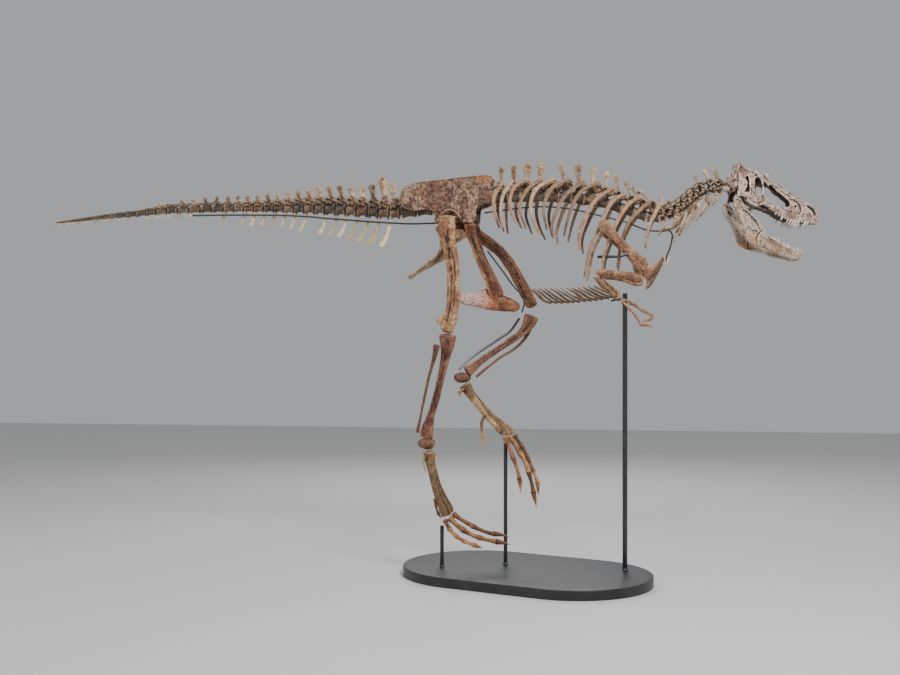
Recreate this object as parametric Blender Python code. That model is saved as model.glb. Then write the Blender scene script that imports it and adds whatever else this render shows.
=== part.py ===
"""Mounted skeleton of a young tyrannosaurid, walking, on its oval steel base.

Metres, +Z up, +X towards the head, +Y to the animal's left. The origin is the
centre of the base's underside. The bones are set out about their own middle
plane (y = 0) and then moved to stand over the base, which lies turned under them.
"""
import math

import bmesh
import bpy
from mathutils import Matrix, Vector

# ---------------------------------------------------------------- driving sizes
MIDPLANE_Y = 0.06            # the skeleton stands a little left of the base's centre
HAIR_GAP = 0.0003            # gap left between pieces that touch

BASE_LENGTH = 1.87
BASE_WIDTH = 1.155
BASE_HEIGHT = 0.07
BASE_TURN = math.radians(-20.0)
BASE_CHAMFER = 0.006
BASE_END_STEPS = 10

ROD_SIDES = 7
LEG_ROD_RADIUS = 0.0145
CHEST_ROD_RADIUS = 0.018
BAR_HALF = 0.0068
FLAT_ANGLE = math.radians(0.6)   # faces this near to level with each other become one

SKULL_TURN = math.radians(14.0)      # head looks a little to its left
SKULL_NOD = math.radians(15.0)       # and down
SKULL_ROLL = math.radians(-8.0)
JAW_OPEN = math.radians(28.0)
JAW_HINGE = (0.055, 0.0, -0.046)     # in the skull's own frame
CONDYLE = (1.43, 0.03, 2.772)        # where the skull meets the neck

SIDE_SIGN = {"right": -1.0, "left": 1.0}

# ---------------------------------------------------------------- the backbone
# Points that the backbone passes through, head end first: (x, y, z).
NECK_LINE = ((1.396, 0.028, 2.782), (1.35, 0.025, 2.788), (1.29, 0.018, 2.786), (1.22, 0.010, 2.746),
             (1.15, 0.004, 2.686), (1.08, 0.0, 2.635), (1.02, 0.0, 2.608), (0.957, 0.0, 2.598))
TRUNK_LINE = ((0.9567, 0.0, 2.598), (0.85, 0.0, 2.608), (0.75, 0.0, 2.642), (0.64, 0.0, 2.684),
              (0.53, 0.0, 2.712), (0.32, 0.0, 2.748), (0.10, 0.0, 2.762), (-0.225, 0.0, 2.758))
SACRUM_COUNT = 6
SACRUM_LINE = ((-0.2253, 0.0, 2.758), (-0.45, 0.0, 2.722), (-0.70, 0.0, 2.684), (-0.9267, 0.0, 2.664))
TAIL_START_X = -0.927
TAIL_END_X = -3.935
TAIL_SWEEP = 0.55                    # sideways reach of the tail's tip, to the left
TAIL_SWEEP_POWER = 1.7
# Height of the tail's middle line and its half height, by x.
TAIL_HEIGHTS = ((-0.93, 2.664), (-1.02, 2.666), (-1.36, 2.699), (-1.56, 2.712), (-1.88, 2.721),
                (-2.47, 2.733), (-2.87, 2.735), (-3.15, 2.718), (-3.44, 2.707), (-3.74, 2.690), (-3.94, 2.681))
TAIL_HALF_HEIGHTS = ((-0.93, 0.060), (-1.02, 0.064), (-1.36, 0.064), (-1.56, 0.057), (-1.88, 0.040),
                     (-2.13, 0.032), (-2.87, 0.030), (-3.15, 0.022), (-3.44, 0.016), (-3.74, 0.010),
                     (-3.94, 0.004))
TAIL_SPINE_RISE = ((-0.93, 0.20), (-1.04, 0.255), (-1.11, 0.205), (-1.25, 0.165), (-1.37, 0.180),
                   (-1.64, 0.140), (-1.90, 0.107), (-2.30, 0.097), (-2.49, 0.066), (-2.90, 0.045),
                   (-3.20, 0.030), (-3.60, 0.016), (-3.94, 0.006))
TAIL_COUNT = 38
TAIL_CUTS = (0, 8, 16, 25, 38)       # vertebra numbers at which the tail is divided
TAIL_JOINT_GROWTH = ((0, 0.083), (15, 0.083), (17, 0.100), (22, 0.100), (25, 0.085), (37, 0.038))
BAR_HEIGHTS = ((-0.62, 2.580), (-0.86, 2.577), (-1.01, 2.587), (-1.16, 2.598), (-1.32, 2.614),
               (-1.48, 2.629), (-1.64, 2.647), (-1.80, 2.660), (-1.96, 2.668), (-2.30, 2.680), (-2.62, 2.688))
BAR_SIDE = -0.019                    # the bar runs just right of the spikes under the tail
CHEVRON_CHANGE_X = -2.36             # beyond this the spikes are short and flat
CHEVRON_LENGTHS = ((-0.93, 0.115), (-1.00, 0.180), (-1.15, 0.170), (-1.30, 0.137), (-1.60, 0.125),
                   (-1.80, 0.090), (-2.10, 0.085), (-2.30, 0.060), (-2.34, 0.052), (-3.30, 0.050),
                   (-3.94, 0.022))

NECK_COUNT = 9
NECK_SPINE_RISES = (0.165, 0.152, 0.143, 0.078, 0.066, 0.062, 0.085, 0.108, 0.145)
NECK_SPINE_LEANS = (-0.039, -0.045, -0.014, -0.019, 0.008, 0.000, -0.010, -0.018, -0.019)
NECK_RIB_LENGTHS = (0.10, 0.19, 0.21, 0.21, 0.19, 0.16, 0.13, 0.11, 0.10)

TRUNK_COUNT = 13
# One row for each back vertebra, first to last: spine tip x, tip z and half length.
TRUNK_SPINES = ((0.810, 2.800, 0.013), (0.757, 2.826, 0.014), (0.711, 2.870, 0.018), (0.647, 2.912, 0.017),
                (0.583, 2.938, 0.018), (0.490, 2.962, 0.023), (0.375, 2.993, 0.030), (0.253, 2.990, 0.023),
                (0.185, 2.905, 0.018), (0.112, 3.014, 0.031), (0.013, 3.006, 0.033), (-0.089, 3.000, 0.025),
                (-0.180, 2.992, 0.019))
# One row for each rib: forward shift of its root, tip x, tip z, reach from the middle plane.
RIBS = ((0.050, 0.860, 2.385, 0.150), (0.060, 0.665, 2.225, 0.200), (0.070, 0.565, 2.220, 0.232),
        (0.060, 0.435, 2.160, 0.246), (0.060, 0.400, 2.360, 0.252), (0.060, 0.290, 2.450, 0.258),
        (0.040, 0.212, 2.440, 0.258), (0.030, 0.168, 2.500, 0.254), (-0.010, 0.120, 2.470, 0.248),
        (-0.010, 0.030, 2.510, 0.238), (0.000, -0.050, 2.550, 0.220), (-0.020, -0.143, 2.510, 0.190),
        (-0.030, -0.200, 2.520, 0.150))
RIB_STEPS = 4
WING_REACH = 0.088
WING_RISE = 0.104

BONE_TAN = (0.50, 0.34, 0.22)
BONE_CREAM = (0.66, 0.53, 0.38)
BONE_RED = (0.36, 0.19, 0.12)
BONE_PINK = (0.60, 0.42, 0.33)
STEEL_BLACK = (0.012, 0.012, 0.013)


# ---------------------------------------------------------------- small helpers
def along(table, x):
    """Value at x from rows of (x, value), straight between rows."""
    rows = sorted(table)
    if x <= rows[0][0]:
        return rows[0][1]
    for (x0, v0), (x1, v1) in zip(rows, rows[1:]):
        if x <= x1:
            return v0 + (v1 - v0) * (x - x0) / (x1 - x0)
    return rows[-1][1]


def tail_y(x):
    """Sideways sweep of the tail at x: it bends ever more to the left."""
    span = max(0.0, (TAIL_START_X - x) / (TAIL_START_X - TAIL_END_X))
    return TAIL_SWEEP * span ** TAIL_SWEEP_POWER


def tail_point(x):
    return Vector((x, tail_y(x), along(TAIL_HEIGHTS, x)))


def bar_point(x):
    return Vector((x, tail_y(x) + BAR_SIDE, along(BAR_HEIGHTS, x)))


def walk(points, count):
    """count + 1 points at even steps along a smooth line through the given points."""
    knots = [Vector(p) for p in points]
    fine = []
    for i in range(len(knots) - 1):
        before = knots[max(i - 1, 0)]
        after = knots[min(i + 2, len(knots) - 1)]
        for step in range(12):
            t = step / 12.0
            a, b = knots[i], knots[i + 1]
            bend_a = (b - before) * 0.5
            bend_b = (after - a) * 0.5
            fine.append(a * (2 * t**3 - 3 * t**2 + 1) + b * (3 * t**2 - 2 * t**3)
                        + bend_a * (t**3 - 2 * t**2 + t) + bend_b * (t**3 - t**2))
    fine.append(knots[-1])
    run = [0.0]
    for p, q in zip(fine, fine[1:]):
        run.append(run[-1] + (q - p).length)
    table = []
    for k in range(count + 1):
        want = run[-1] * k / count
        j = 0
        while j < len(run) - 2 and run[j + 1] < want:
            j += 1
        share = (want - run[j]) / (run[j + 1] - run[j])
        table.append(fine[j].lerp(fine[j + 1], min(1.0, share)))
    return table


class Solid:
    """Corner points and faces of one closed piece."""

    def __init__(self):
        self.points = []
        self.faces = []

    def ring(self, points):
        first = len(self.points)
        self.points += [Vector(p) for p in points]
        return list(range(first, len(self.points)))

    def wall(self, lower, upper, skip=()):
        count = len(lower)
        for k in range(count):
            if k not in skip:
                n = (k + 1) % count
                self.faces.append((lower[k], lower[n], upper[n], upper[k]))

    def cap(self, ring):
        self.faces.append(tuple(ring))


def tube(path, halves, sides=6, hint=(0.0, 1.0, 0.0)):
    """Closed tube along path. halves holds (half width along hint, half depth) at each point."""
    solid = Solid()
    points = [Vector(p) for p in path]
    rings = []
    for i, centre in enumerate(points):
        ahead = (points[min(i + 1, len(points) - 1)] - points[max(i - 1, 0)]).normalized()
        side = Vector(hint)
        side = (side - ahead * ahead.dot(side)).normalized()
        up = ahead.cross(side)
        wide, deep = halves[min(i, len(halves) - 1)]
        corners = []
        for k in range(sides):
            angle = math.tau * (k + 0.5) / sides
            corners.append(centre + side * (wide * math.cos(angle)) + up * (deep * math.sin(angle)))
        rings.append(solid.ring(corners))
    for lower, upper in zip(rings, rings[1:]):
        solid.wall(lower, upper)
    solid.cap(rings[0])
    solid.cap(rings[-1])
    return solid


def plate(outline, middle, half, rim_half, bevel):
    """Flat bone: an outline of (x, z) about the sheet y = middle(x, z), thinner at its rim."""
    solid = Solid()
    count = len(outline)
    inner = []
    area = sum(outline[k - 1][0] * outline[k][1] - outline[k][0] * outline[k - 1][1] for k in range(count))
    turn = 1.0 if area > 0 else -1.0
    for k in range(count):
        here = Vector(outline[k])
        back = (here - Vector(outline[k - 1])).normalized()
        ahead = (Vector(outline[(k + 1) % count]) - here).normalized()
        inward = Vector((-(back.y + ahead.y), back.x + ahead.x)) * turn
        size = max(inward.length, 0.9)
        inner.append(here + inward.normalized() * (bevel * 2.0 / size))
    layers = []
    for sign in (-1.0, 1.0):
        layers.append(solid.ring([(x, middle(x, z) + sign * rim_half, z) for x, z in outline]))
        layers.append(solid.ring([(p[0], middle(p[0], p[1]) + sign * half, p[1]) for p in inner]))
    low_rim, low_face, high_rim, high_face = layers
    solid.wall(low_rim, high_rim)
    solid.wall(low_rim, low_face)
    solid.wall(high_rim, high_face)
    solid.cap(low_face)
    solid.cap(high_face)
    return solid


def prism(outline, y0, y1):
    """Straight block with an outline of (x, z), from y0 to y1."""
    solid = Solid()
    low = solid.ring([(x, y0, z) for x, z in outline])
    high = solid.ring([(x, y1, z) for x, z in outline])
    solid.wall(low, high)
    solid.cap(low)
    solid.cap(high)
    return solid


class Frame:
    """Directions at a point of the backbone: towards the head, to the left, and up."""

    def __init__(self, before, after):
        self.ahead = (before - after).normalized()
        self.side = Vector((0.0, 0.0, 1.0)).cross(self.ahead).normalized()
        self.up = self.ahead.cross(self.side)

    def point(self, origin, ahead=0.0, side=0.0, up=0.0):
        return origin + self.ahead * ahead + self.side * side + self.up * up


def sprout(solid, root, sections):
    """Grow an arm from a four-cornered gap in a solid.

    root holds the gap's corners as (+u +v, +u -v, -u -v, -u +v); each section is
    (centre, u, v), with u and v the half extents as vectors.
    """
    loop = root
    for centre, u, v in sections:
        upper = solid.ring([centre + u + v, centre + u - v, centre - u - v, centre - u + v])
        solid.wall(loop, upper)
        loop = upper
    solid.cap(loop)


def column(joints, sizes, top, wings=None, under=None, flanks=None, ends=(None, None), waist=0.80, half=0.0):
    """A row of vertebrae as one solid, from the head end back.

    joints: points between the vertebrae; ends: the next joints beyond them, if any.
    sizes: (half width, half height) at each joint. top(i): rows of (rise, half length,
    half width, forward shift) for vertebra i's arch and spine, from its body up.
    wings(i, middle, frame, sign), under(i, joint, frame) and flanks(i, middle, frame, sign)
    give the sections of its side wings, the spike below it and its neck ribs.
    half: 1 or -1 makes only the left or the right half, flat along the middle plane.
    """
    solid = Solid()
    count = len(joints) - 1
    line = [ends[0] or joints[0]] + list(joints) + [ends[1] or joints[-1]]
    frames = [Frame(line[i], line[i + 2]) for i in range(count + 1)]
    inner = half * HAIR_GAP / 2.0

    def body_ring(centre, frame, wide, high):
        corners = []
        for k in range(6):
            angle = math.tau * k / 6.0
            corners.append((wide * math.cos(angle), high * math.sin(angle) / 0.866))
        if half:
            corners = [(half * corners[0][0], corners[0][1]), (half * corners[1][0], corners[1][1]),
                       (inner, corners[1][1]), (inner, corners[5][1]), (half * corners[5][0], corners[5][1])]
        return solid.ring([frame.point(centre, 0.0, y, z) for y, z in corners])

    rings = []
    for i in range(count):
        wide, high = sizes[i]
        next_wide, next_high = sizes[i + 1]
        rings.append(body_ring(joints[i], frames[i], wide, high))
        middle = joints[i].lerp(joints[i + 1], 0.5)
        turned = Frame(joints[i], joints[i + 1])
        rings.append(body_ring(middle, turned, waist * (wide + next_wide) / 2, waist * (high + next_high) / 2))
    rings.append(body_ring(joints[count], frames[count], *sizes[count]))
    for i in range(count):
        flange, narrow, next_flange = rings[2 * i:2 * i + 3]
        frame = Frame(joints[i], joints[i + 1])
        middle = joints[i].lerp(joints[i + 1], 0.42)
        solid.wall(flange, narrow, skip=(1, 3, 5) if flanks else (1,))
        spike = under(i, joints[i + 1], frames[i + 1]) if under else None
        solid.wall(narrow, next_flange, skip=(4,) if spike else ())
        if spike:
            sprout(solid, [narrow[5], narrow[4], next_flange[4], next_flange[5]], spike)
        if flanks:
            sprout(solid, [flange[0], flange[5], narrow[5], narrow[0]], flanks(i, middle, frame, 1.0))
            sprout(solid, [flange[3], flange[4], narrow[4], narrow[3]], flanks(i, middle, frame, -1.0))
        loop = [flange[1], flange[2], narrow[2], narrow[1]]
        for number, (rise, half_length, half_width, shift) in enumerate(top(i)):
            outer = (half or 1.0) * half_width
            opposite = inner if half else -half_width
            upper = solid.ring([frame.point(middle, shift + along_it, y, rise) for along_it, y in (
                (half_length, outer), (half_length, opposite), (-half_length, opposite), (-half_length, outer))])
            sides = ()
            if wings and number == 0:
                sides = (half,) if half else (1.0, -1.0)
            skip = ()
            if sides:
                skip = (3,) if half else (1, 3)
            solid.wall(loop, upper, skip=skip)
            for sign in sides:
                front, rear = (0, 3) if (half or sign > 0) else (1, 2)
                sections = wings(i, middle, frame, sign)
                sprout(solid, [upper[front], loop[front], loop[rear], upper[rear]], sections)
            loop = upper
        solid.cap(loop)
    solid.cap(rings[0])
    solid.cap(rings[-1])
    return solid


# ---------------------------------------------------------------- making objects
def make_material(name, colour, roughness, metallic=0.0):
    material = bpy.data.materials.new(name)
    material.use_nodes = True
    shader = material.node_tree.nodes["Principled BSDF"]
    shader.inputs["Base Color"].default_value = (*colour, 1.0)
    shader.inputs["Roughness"].default_value = roughness
    shader.inputs["Metallic"].default_value = metallic
    return material


def tidy_mesh(mesh, merge_flat=False):
    """Faces turned outwards and cut into triangles, after flat neighbours are merged if asked."""
    work = bmesh.new()
    work.from_mesh(mesh)
    if merge_flat:
        bmesh.ops.dissolve_limit(work, angle_limit=FLAT_ANGLE, verts=work.verts, edges=work.edges)
    bmesh.ops.recalc_face_normals(work, faces=work.faces)
    bmesh.ops.triangulate(work, faces=work.faces, quad_method="SHORT_EDGE", ngon_method="BEAUTY")
    work.to_mesh(mesh)
    work.free()


def mesh_object(name, solid, collection=None):
    mesh = bpy.data.meshes.new(name)
    mesh.from_pydata([tuple(p) for p in solid.points], [], solid.faces)
    tidy_mesh(mesh)
    thing = bpy.data.objects.new(name, mesh)
    (collection or bpy.context.scene.collection).objects.link(thing)
    return thing


def add_boolean(thing, name, solids, operation):
    """Join or cut the thing with every solid in a hidden collection."""
    group = bpy.data.collections.new(name)
    bpy.context.scene.collection.children.link(group)
    for number, solid in enumerate(solids):
        tool = mesh_object(f"{name}.{number}", solid, group)
        tool.hide_render = True
        tool.display_type = "WIRE"
    step = thing.modifiers.new(name, "BOOLEAN")
    step.operation = operation
    step.operand_type = "COLLECTION"
    step.collection = group
    step.solver = "EXACT"
    return group


def build(name, solids, colour, cuts=(), place=None, roughness=0.62, metallic=0.0):
    """One named object: the solids joined, the cuts taken away, standing at its place."""
    thing = mesh_object(name, solids[0])
    groups = []
    if len(solids) > 1:
        groups.append(add_boolean(thing, name + ".join", solids[1:], "UNION"))
    if cuts:
        groups.append(add_boolean(thing, name + ".cut", list(cuts), "DIFFERENCE"))
    if groups:
        bpy.context.view_layer.update()
        shaped = thing.evaluated_get(bpy.context.evaluated_depsgraph_get())
        mesh = bpy.data.meshes.new_from_object(shaped)
        tidy_mesh(mesh, merge_flat=True)
        thing.modifiers.clear()
        thing.data = mesh
        for group in groups:
            for tool in list(group.objects):
                bpy.data.objects.remove(tool, do_unlink=True)
            bpy.data.collections.remove(group)
    thing.data.materials.clear()
    thing.data.materials.append(make_material(name, colour, roughness, metallic))
    thing.matrix_world = place if place is not None else Matrix.Translation((0.0, MIDPLANE_Y, 0.0))
    return thing


def steel(name, solids, place=None):
    return build(name, solids, STEEL_BLACK, place=place, roughness=0.45, metallic=0.3)


def mirrored(solid):
    """The same piece on the other side of the middle plane."""
    other = Solid()
    other.points = [Vector((p.x, -p.y, p.z)) for p in solid.points]
    other.faces = [tuple(reversed(face)) for face in solid.faces]
    return other


# ---------------------------------------------------------------- stand
def make_base():
    radius = BASE_WIDTH / 2.0
    straight = (BASE_LENGTH - BASE_WIDTH) / 2.0

    def outline(inset):
        corners = []
        for end, start in ((1.0, -0.5), (-1.0, 0.5)):
            for step in range(BASE_END_STEPS + 1):
                angle = math.pi * (start + step / BASE_END_STEPS)
                corners.append((end * straight + (radius - inset) * math.cos(angle),
                                (radius - inset) * math.sin(angle)))
        return corners

    solid = Solid()
    low = solid.ring([(x, y, 0.0) for x, y in outline(0.0)])
    middle = solid.ring([(x, y, BASE_HEIGHT - BASE_CHAMFER) for x, y in outline(0.0)])
    top = solid.ring([(x, y, BASE_HEIGHT) for x, y in outline(BASE_CHAMFER)])
    solid.wall(low, middle)
    solid.wall(middle, top)
    solid.cap(low)
    solid.cap(top)
    steel("stand_base", [solid], place=Matrix.Rotation(BASE_TURN, 4, "Z"))


def rod(path, radius, sides=ROD_SIDES, hint=(0.0, 1.0, 0.0)):
    return tube(path, [(radius, radius)], sides, hint)


def make_stand():
    make_base()
    foot = BASE_HEIGHT + HAIR_GAP
    steel("stand_rod_rear", [rod([(-0.605, -0.095, foot), (-0.605, -0.095, 0.375)],
                                 LEG_ROD_RADIUS)])
    steel("stand_rod_mid", [rod([(-0.160, 0.085, foot), (-0.160, 0.085, 0.965)],
                                LEG_ROD_RADIUS)])
    steel("stand_rod_front", [rod([(0.711, 0.0, foot), (0.711, 0.0, 2.060)],
                                  CHEST_ROD_RADIUS),
                              rod([(0.712, 0.0, 2.004), (0.660, 0.0, 2.012), (0.61, 0.0, 2.004)], 0.009, 6)])
    bar_line = [bar_point(-0.62 - 0.222 * k) for k in range(10)]
    steel("stand_tail_bar", [tube(bar_line, [(BAR_HALF, BAR_HALF)], 6)])
    steel("stand_trunk_rod", [rod([(-0.30, -0.05, 2.645), (-0.15, -0.055, 2.664), (0.14, -0.055, 2.683),
                                   (0.32, -0.055, 2.664), (0.535, -0.055, 2.612), (0.712, -0.04, 2.566),
                                   (0.89, 0.0, 2.505), (1.03, 0.0, 2.502), (1.043, 0.0, 2.485),
                                   (1.043, 0.0, 2.44), (1.029, 0.0, 2.38), (1.003, 0.0, 2.31),
                                   (0.998, 0.0, 2.272)], 0.007, 6)])
    steel("stand_chest_bar", [rod([(0.515, -0.02, 2.320), (0.60, -0.02, 2.320), (0.68, 0.0, 2.326),
                                   (0.76, 0.02, 2.350)], 0.013, 6)])
    steel("stand_leg_bar", [rod([(-0.075, 0.255, 1.885), (-0.105, 0.262, 1.84), (-0.14, 0.250, 1.79),
                                 (-0.215, 0.215, 1.735), (-0.43, 0.110, 1.578), (-0.50, 0.055, 1.505)], 0.010, 6)])
    steel("stand_knee_rod", [rod([(-0.302, 0.125, 2.385), (-0.19, 0.150, 2.235), (-0.084, 0.170, 2.093),
                                  (-0.050, 0.178, 2.062), (-0.032, 0.186, 1.995), (-0.050, 0.19, 1.925)],
                                 0.007, 6)])


# ---------------------------------------------------------------- skull and jaw
# Stations along the skull, condyle to snout:
# (a, top, bottom, top half width, middle half width, bottom half width).
SKULL_STATIONS = ((-0.006, 0.150, 0.045, 0.046, 0.060, 0.045), (0.030, 0.196, 0.000, 0.058, 0.104, 0.088),
                  (0.062, 0.206, -0.040, 0.060, 0.112, 0.104), (0.125, 0.196, -0.062, 0.060, 0.114, 0.104),
                  (0.185, 0.190, -0.074, 0.056, 0.100, 0.096), (0.232, 0.186, -0.062, 0.052, 0.086, 0.082),
                  (0.280, 0.170, -0.054, 0.036, 0.074, 0.072), (0.343, 0.156, -0.062, 0.028, 0.063, 0.063),
                  (0.400, 0.138, -0.083, 0.023, 0.057, 0.058), (0.470, 0.116, -0.085, 0.021, 0.052, 0.054),
                  (0.550, 0.095, -0.073, 0.019, 0.047, 0.049), (0.620, 0.077, -0.060, 0.016, 0.040, 0.041),
                  (0.662, 0.046, -0.053, 0.012, 0.028, 0.029), (0.686, -0.008, -0.048, 0.005, 0.012, 0.013))
ORBIT = ((0.160, 0.132), (0.186, 0.144), (0.198, 0.124), (0.208, 0.075), (0.214, 0.028), (0.181, 0.020),
         (0.163, 0.038), (0.152, 0.085))
ANTORBITAL = ((0.226, 0.128), (0.240, 0.068), (0.252, 0.018), (0.274, 0.018), (0.303, 0.002), (0.345, -0.008),
              (0.415, -0.008), (0.448, 0.014), (0.445, 0.040), (0.400, 0.068), (0.331, 0.096), (0.290, 0.126))
TEMPORAL = ((0.092, 0.119), (0.107, 0.063), (0.121, 0.009), (0.084, -0.002), (0.100, 0.031), (0.100, 0.061),
            (0.084, 0.083), (0.081, 0.101))
NOSTRIL = ((0.574, 0.056), (0.600, 0.062), (0.622, 0.056), (0.645, 0.040), (0.661, 0.016), (0.660, -0.004),
           (0.650, 0.002), (0.622, 0.018), (0.595, 0.035))
# Teeth of each side, from the back: (a, length).
UPPER_TEETH = ((0.362, 0.018), (0.414, 0.030), (0.461, 0.040), (0.482, 0.046), (0.503, 0.056), (0.523, 0.064),
               (0.541, 0.042), (0.590, 0.045), (0.612, 0.026), (0.640, 0.020))
LOWER_TEETH = ((0.372, 0.020), (0.404, 0.024), (0.429, 0.030), (0.452, 0.020), (0.474, 0.032), (0.505, 0.024),
               (0.543, 0.032), (0.575, 0.026), (0.600, 0.024))

# Stations along each branch of the jaw: (a, top, bottom, distance from the middle plane, half thickness).
JAW_STATIONS = ((-0.010, -0.012, -0.040, 0.100, 0.013), (0.018, -0.002, -0.078, 0.101, 0.014),
                (0.075, -0.018, -0.095, 0.101, 0.013), (0.135, -0.020, -0.121, 0.099, 0.012),
                (0.190, -0.027, -0.150, 0.095, 0.012), (0.250, -0.040, -0.186, 0.089, 0.012),
                (0.328, -0.052, -0.166, 0.079, 0.013), (0.402, -0.036, -0.123, 0.065, 0.014),
                (0.480, -0.012, -0.096, 0.050, 0.015), (0.550, 0.026, -0.060, 0.034, 0.016),
                (0.600, 0.053, -0.028, 0.022, 0.017), (0.630, 0.046, 0.022, 0.012, 0.012))


def skull_frame():
    turn = Matrix.Rotation(SKULL_TURN, 4, "Z") @ Matrix.Rotation(SKULL_NOD, 4, "Y")
    turn = turn @ Matrix.Rotation(SKULL_ROLL, 4, "X")
    return Matrix.Translation((CONDYLE[0], CONDYLE[1] + MIDPLANE_Y, CONDYLE[2])) @ turn


def jaw_frame():
    return skull_frame() @ Matrix.Translation(JAW_HINGE) @ Matrix.Rotation(JAW_OPEN, 4, "Y")


def section(solid, a, points):
    return solid.ring([(a, y, z) for y, z in points])


def skull_body():
    solid = Solid()
    rings = []
    for a, top, bottom, top_half, middle_half, bottom_half in SKULL_STATIONS:
        height = top - bottom
        right = [(top_half, top - 0.05 * height), (middle_half, bottom + 0.55 * height),
                 (bottom_half, bottom + 0.10 * height), (0.7 * bottom_half, bottom)]
        left = [(-y, z) for y, z in reversed(right)]
        rings.append(section(solid, a, right + left))
    for lower, upper in zip(rings, rings[1:]):
        solid.wall(lower, upper)
    solid.cap(rings[0])
    solid.cap(rings[-1])
    return solid


def tooth(a, y, root, length, lean=0.15, half=0.0065):
    """Pointed blade that leaves the bone at (a, y, root); a negative length points down."""
    up = 1.0 if length > 0 else -1.0
    solid = Solid()
    foot = root - up * 0.008
    base = solid.ring([(a + half, y, foot), (a, y + half * 0.6, foot),
                       (a - half, y, foot), (a, y - half * 0.6, foot)])
    tip = solid.ring([(a - lean * abs(length), y, root + length)])[0]
    for k in range(4):
        solid.faces.append((base[k], base[(k + 1) % 4], tip))
    solid.cap(base)
    return solid


def station_row(stations, a, column_number):
    return along([(row[0], row[column_number]) for row in stations], a)


def make_skull():
    pieces = [skull_body()]
    crest = tube([(0.020, 0.0, 0.17), (0.030, 0.0, 0.205), (0.036, 0.0, 0.232)],
                 [(0.072, 0.020), (0.066, 0.020), (0.048, 0.016)], 6)
    pieces.append(crest)
    pieces.append(tube([(-0.028, 0.0, 0.018), (0.03, 0.0, 0.04)], [(0.022, 0.022), (0.030, 0.030)], 6))
    for sign in (-1.0, 1.0):
        pieces.append(tube([(0.232, sign * 0.046, 0.160), (0.228, sign * 0.054, 0.193)],
                           [(0.016, 0.022), (0.009, 0.012)], 5))
        pieces.append(tube([(0.054, sign * 0.094, 0.000), (0.054, sign * 0.096, -0.043)],
                           [(0.018, 0.022), (0.022, 0.012)], 6))
        for a, length in UPPER_TEETH:
            half = station_row(SKULL_STATIONS, a, 5) - 0.010
            root = station_row(SKULL_STATIONS, a, 2) + 0.004
            pieces.append(tooth(a, sign * half, root, -length, lean=0.3))
    cuts = [prism(ORBIT, -0.2, 0.2), prism(ANTORBITAL, -0.2, 0.2), prism(NOSTRIL, -0.2, 0.2),
            prism(TEMPORAL, 0.055, 0.2), prism(TEMPORAL, -0.2, -0.055)]
    build("skull", pieces, BONE_PINK, cuts=cuts, place=skull_frame())


def make_jaw():
    branches = []
    for sign in (-1.0, 1.0):
        solid = Solid()
        rings = []
        for a, top, bottom, apart, half in JAW_STATIONS:
            height = top - bottom
            y = sign * apart
            rings.append(section(solid, a, [(y - half * 0.6, top), (y + half * 0.6, top),
                                            (y + half, bottom + 0.45 * height), (y + half * 0.5, bottom),
                                            (y - half * 0.5, bottom), (y - half, bottom + 0.45 * height)]))
        for lower, upper in zip(rings, rings[1:]):
            solid.wall(lower, upper)
        solid.cap(rings[0])
        solid.cap(rings[-1])
        branches.append(solid)
    chin = tube([(0.570, 0.0, -0.020), (0.600, 0.0, 0.008), (0.620, 0.0, 0.030)],
                [(0.030, 0.030), (0.026, 0.028), (0.014, 0.014)], 6)
    pieces = branches + [chin]
    for sign in (-1.0, 1.0):
        for a, length in LOWER_TEETH:
            top = station_row(JAW_STATIONS, a, 1) - 0.004
            apart = station_row(JAW_STATIONS, a, 3)
            pieces.append(tooth(a, sign * apart, top, length, lean=0.8, half=0.0055))
    build("lower_jaw", pieces, BONE_CREAM, place=jaw_frame())


# ---------------------------------------------------------------- neck, back and tail
def neck_joints():
    return walk(NECK_LINE, NECK_COUNT)


def trunk_joints():
    return walk(TRUNK_LINE, TRUNK_COUNT)


def sacrum_joints():
    return walk(SACRUM_LINE, SACRUM_COUNT)


def tail_joints():
    """Every joint of the tail, from the lengths of the vertebrae scaled to the tail's run."""
    lengths = [along(TAIL_JOINT_GROWTH, i) for i in range(TAIL_COUNT)]
    scale = (TAIL_START_X - TAIL_END_X) / sum(lengths)
    marks = [TAIL_START_X]
    for length in lengths:
        marks.append(marks[-1] - length * scale)
    return [tail_point(x) for x in marks]


def make_neck():
    joints = neck_joints()
    sizes = []
    for i in range(NECK_COUNT + 1):
        grow = i / NECK_COUNT
        sizes.append((0.034 + 0.010 * grow, 0.030 + 0.012 * grow))
    sizes[0] = (0.022, 0.022)

    def top(i):
        return [(0.055, 0.020, 0.030, 0.0), (NECK_SPINE_RISES[i], 0.014, 0.012, NECK_SPINE_LEANS[i])]

    def flanks(i, middle, frame, sign):
        length = NECK_RIB_LENGTHS[i]
        knee = middle + Vector((-0.10 * length, sign * 0.060, -0.040))
        tip = middle + Vector((-0.55 * length, sign * 0.070, -0.80 * length))
        return [(knee, Vector((0.010, 0.0, 0.004)), Vector((0.0, sign * 0.006, 0.004))),
                (tip, Vector((0.0025, 0.0, 0.001)), Vector((0.0, sign * 0.002, 0.0005)))]

    neck = column(joints, sizes, top, flanks=flanks, ends=(None, trunk_joints()[1]))
    build("neck", [neck], BONE_TAN)


def trunk_top(joints):
    def top(i):
        tip_x, tip_z, half_length = TRUNK_SPINES[i]
        middle = joints[i].lerp(joints[i + 1], 0.42)
        frame = Frame(joints[i], joints[i + 1])
        reach = Vector((tip_x, 0.0, tip_z)) - middle
        return [(0.084, 0.028, 0.024, 0.0), (reach.dot(frame.up), half_length, 0.012, reach.dot(frame.ahead))]
    return top


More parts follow.
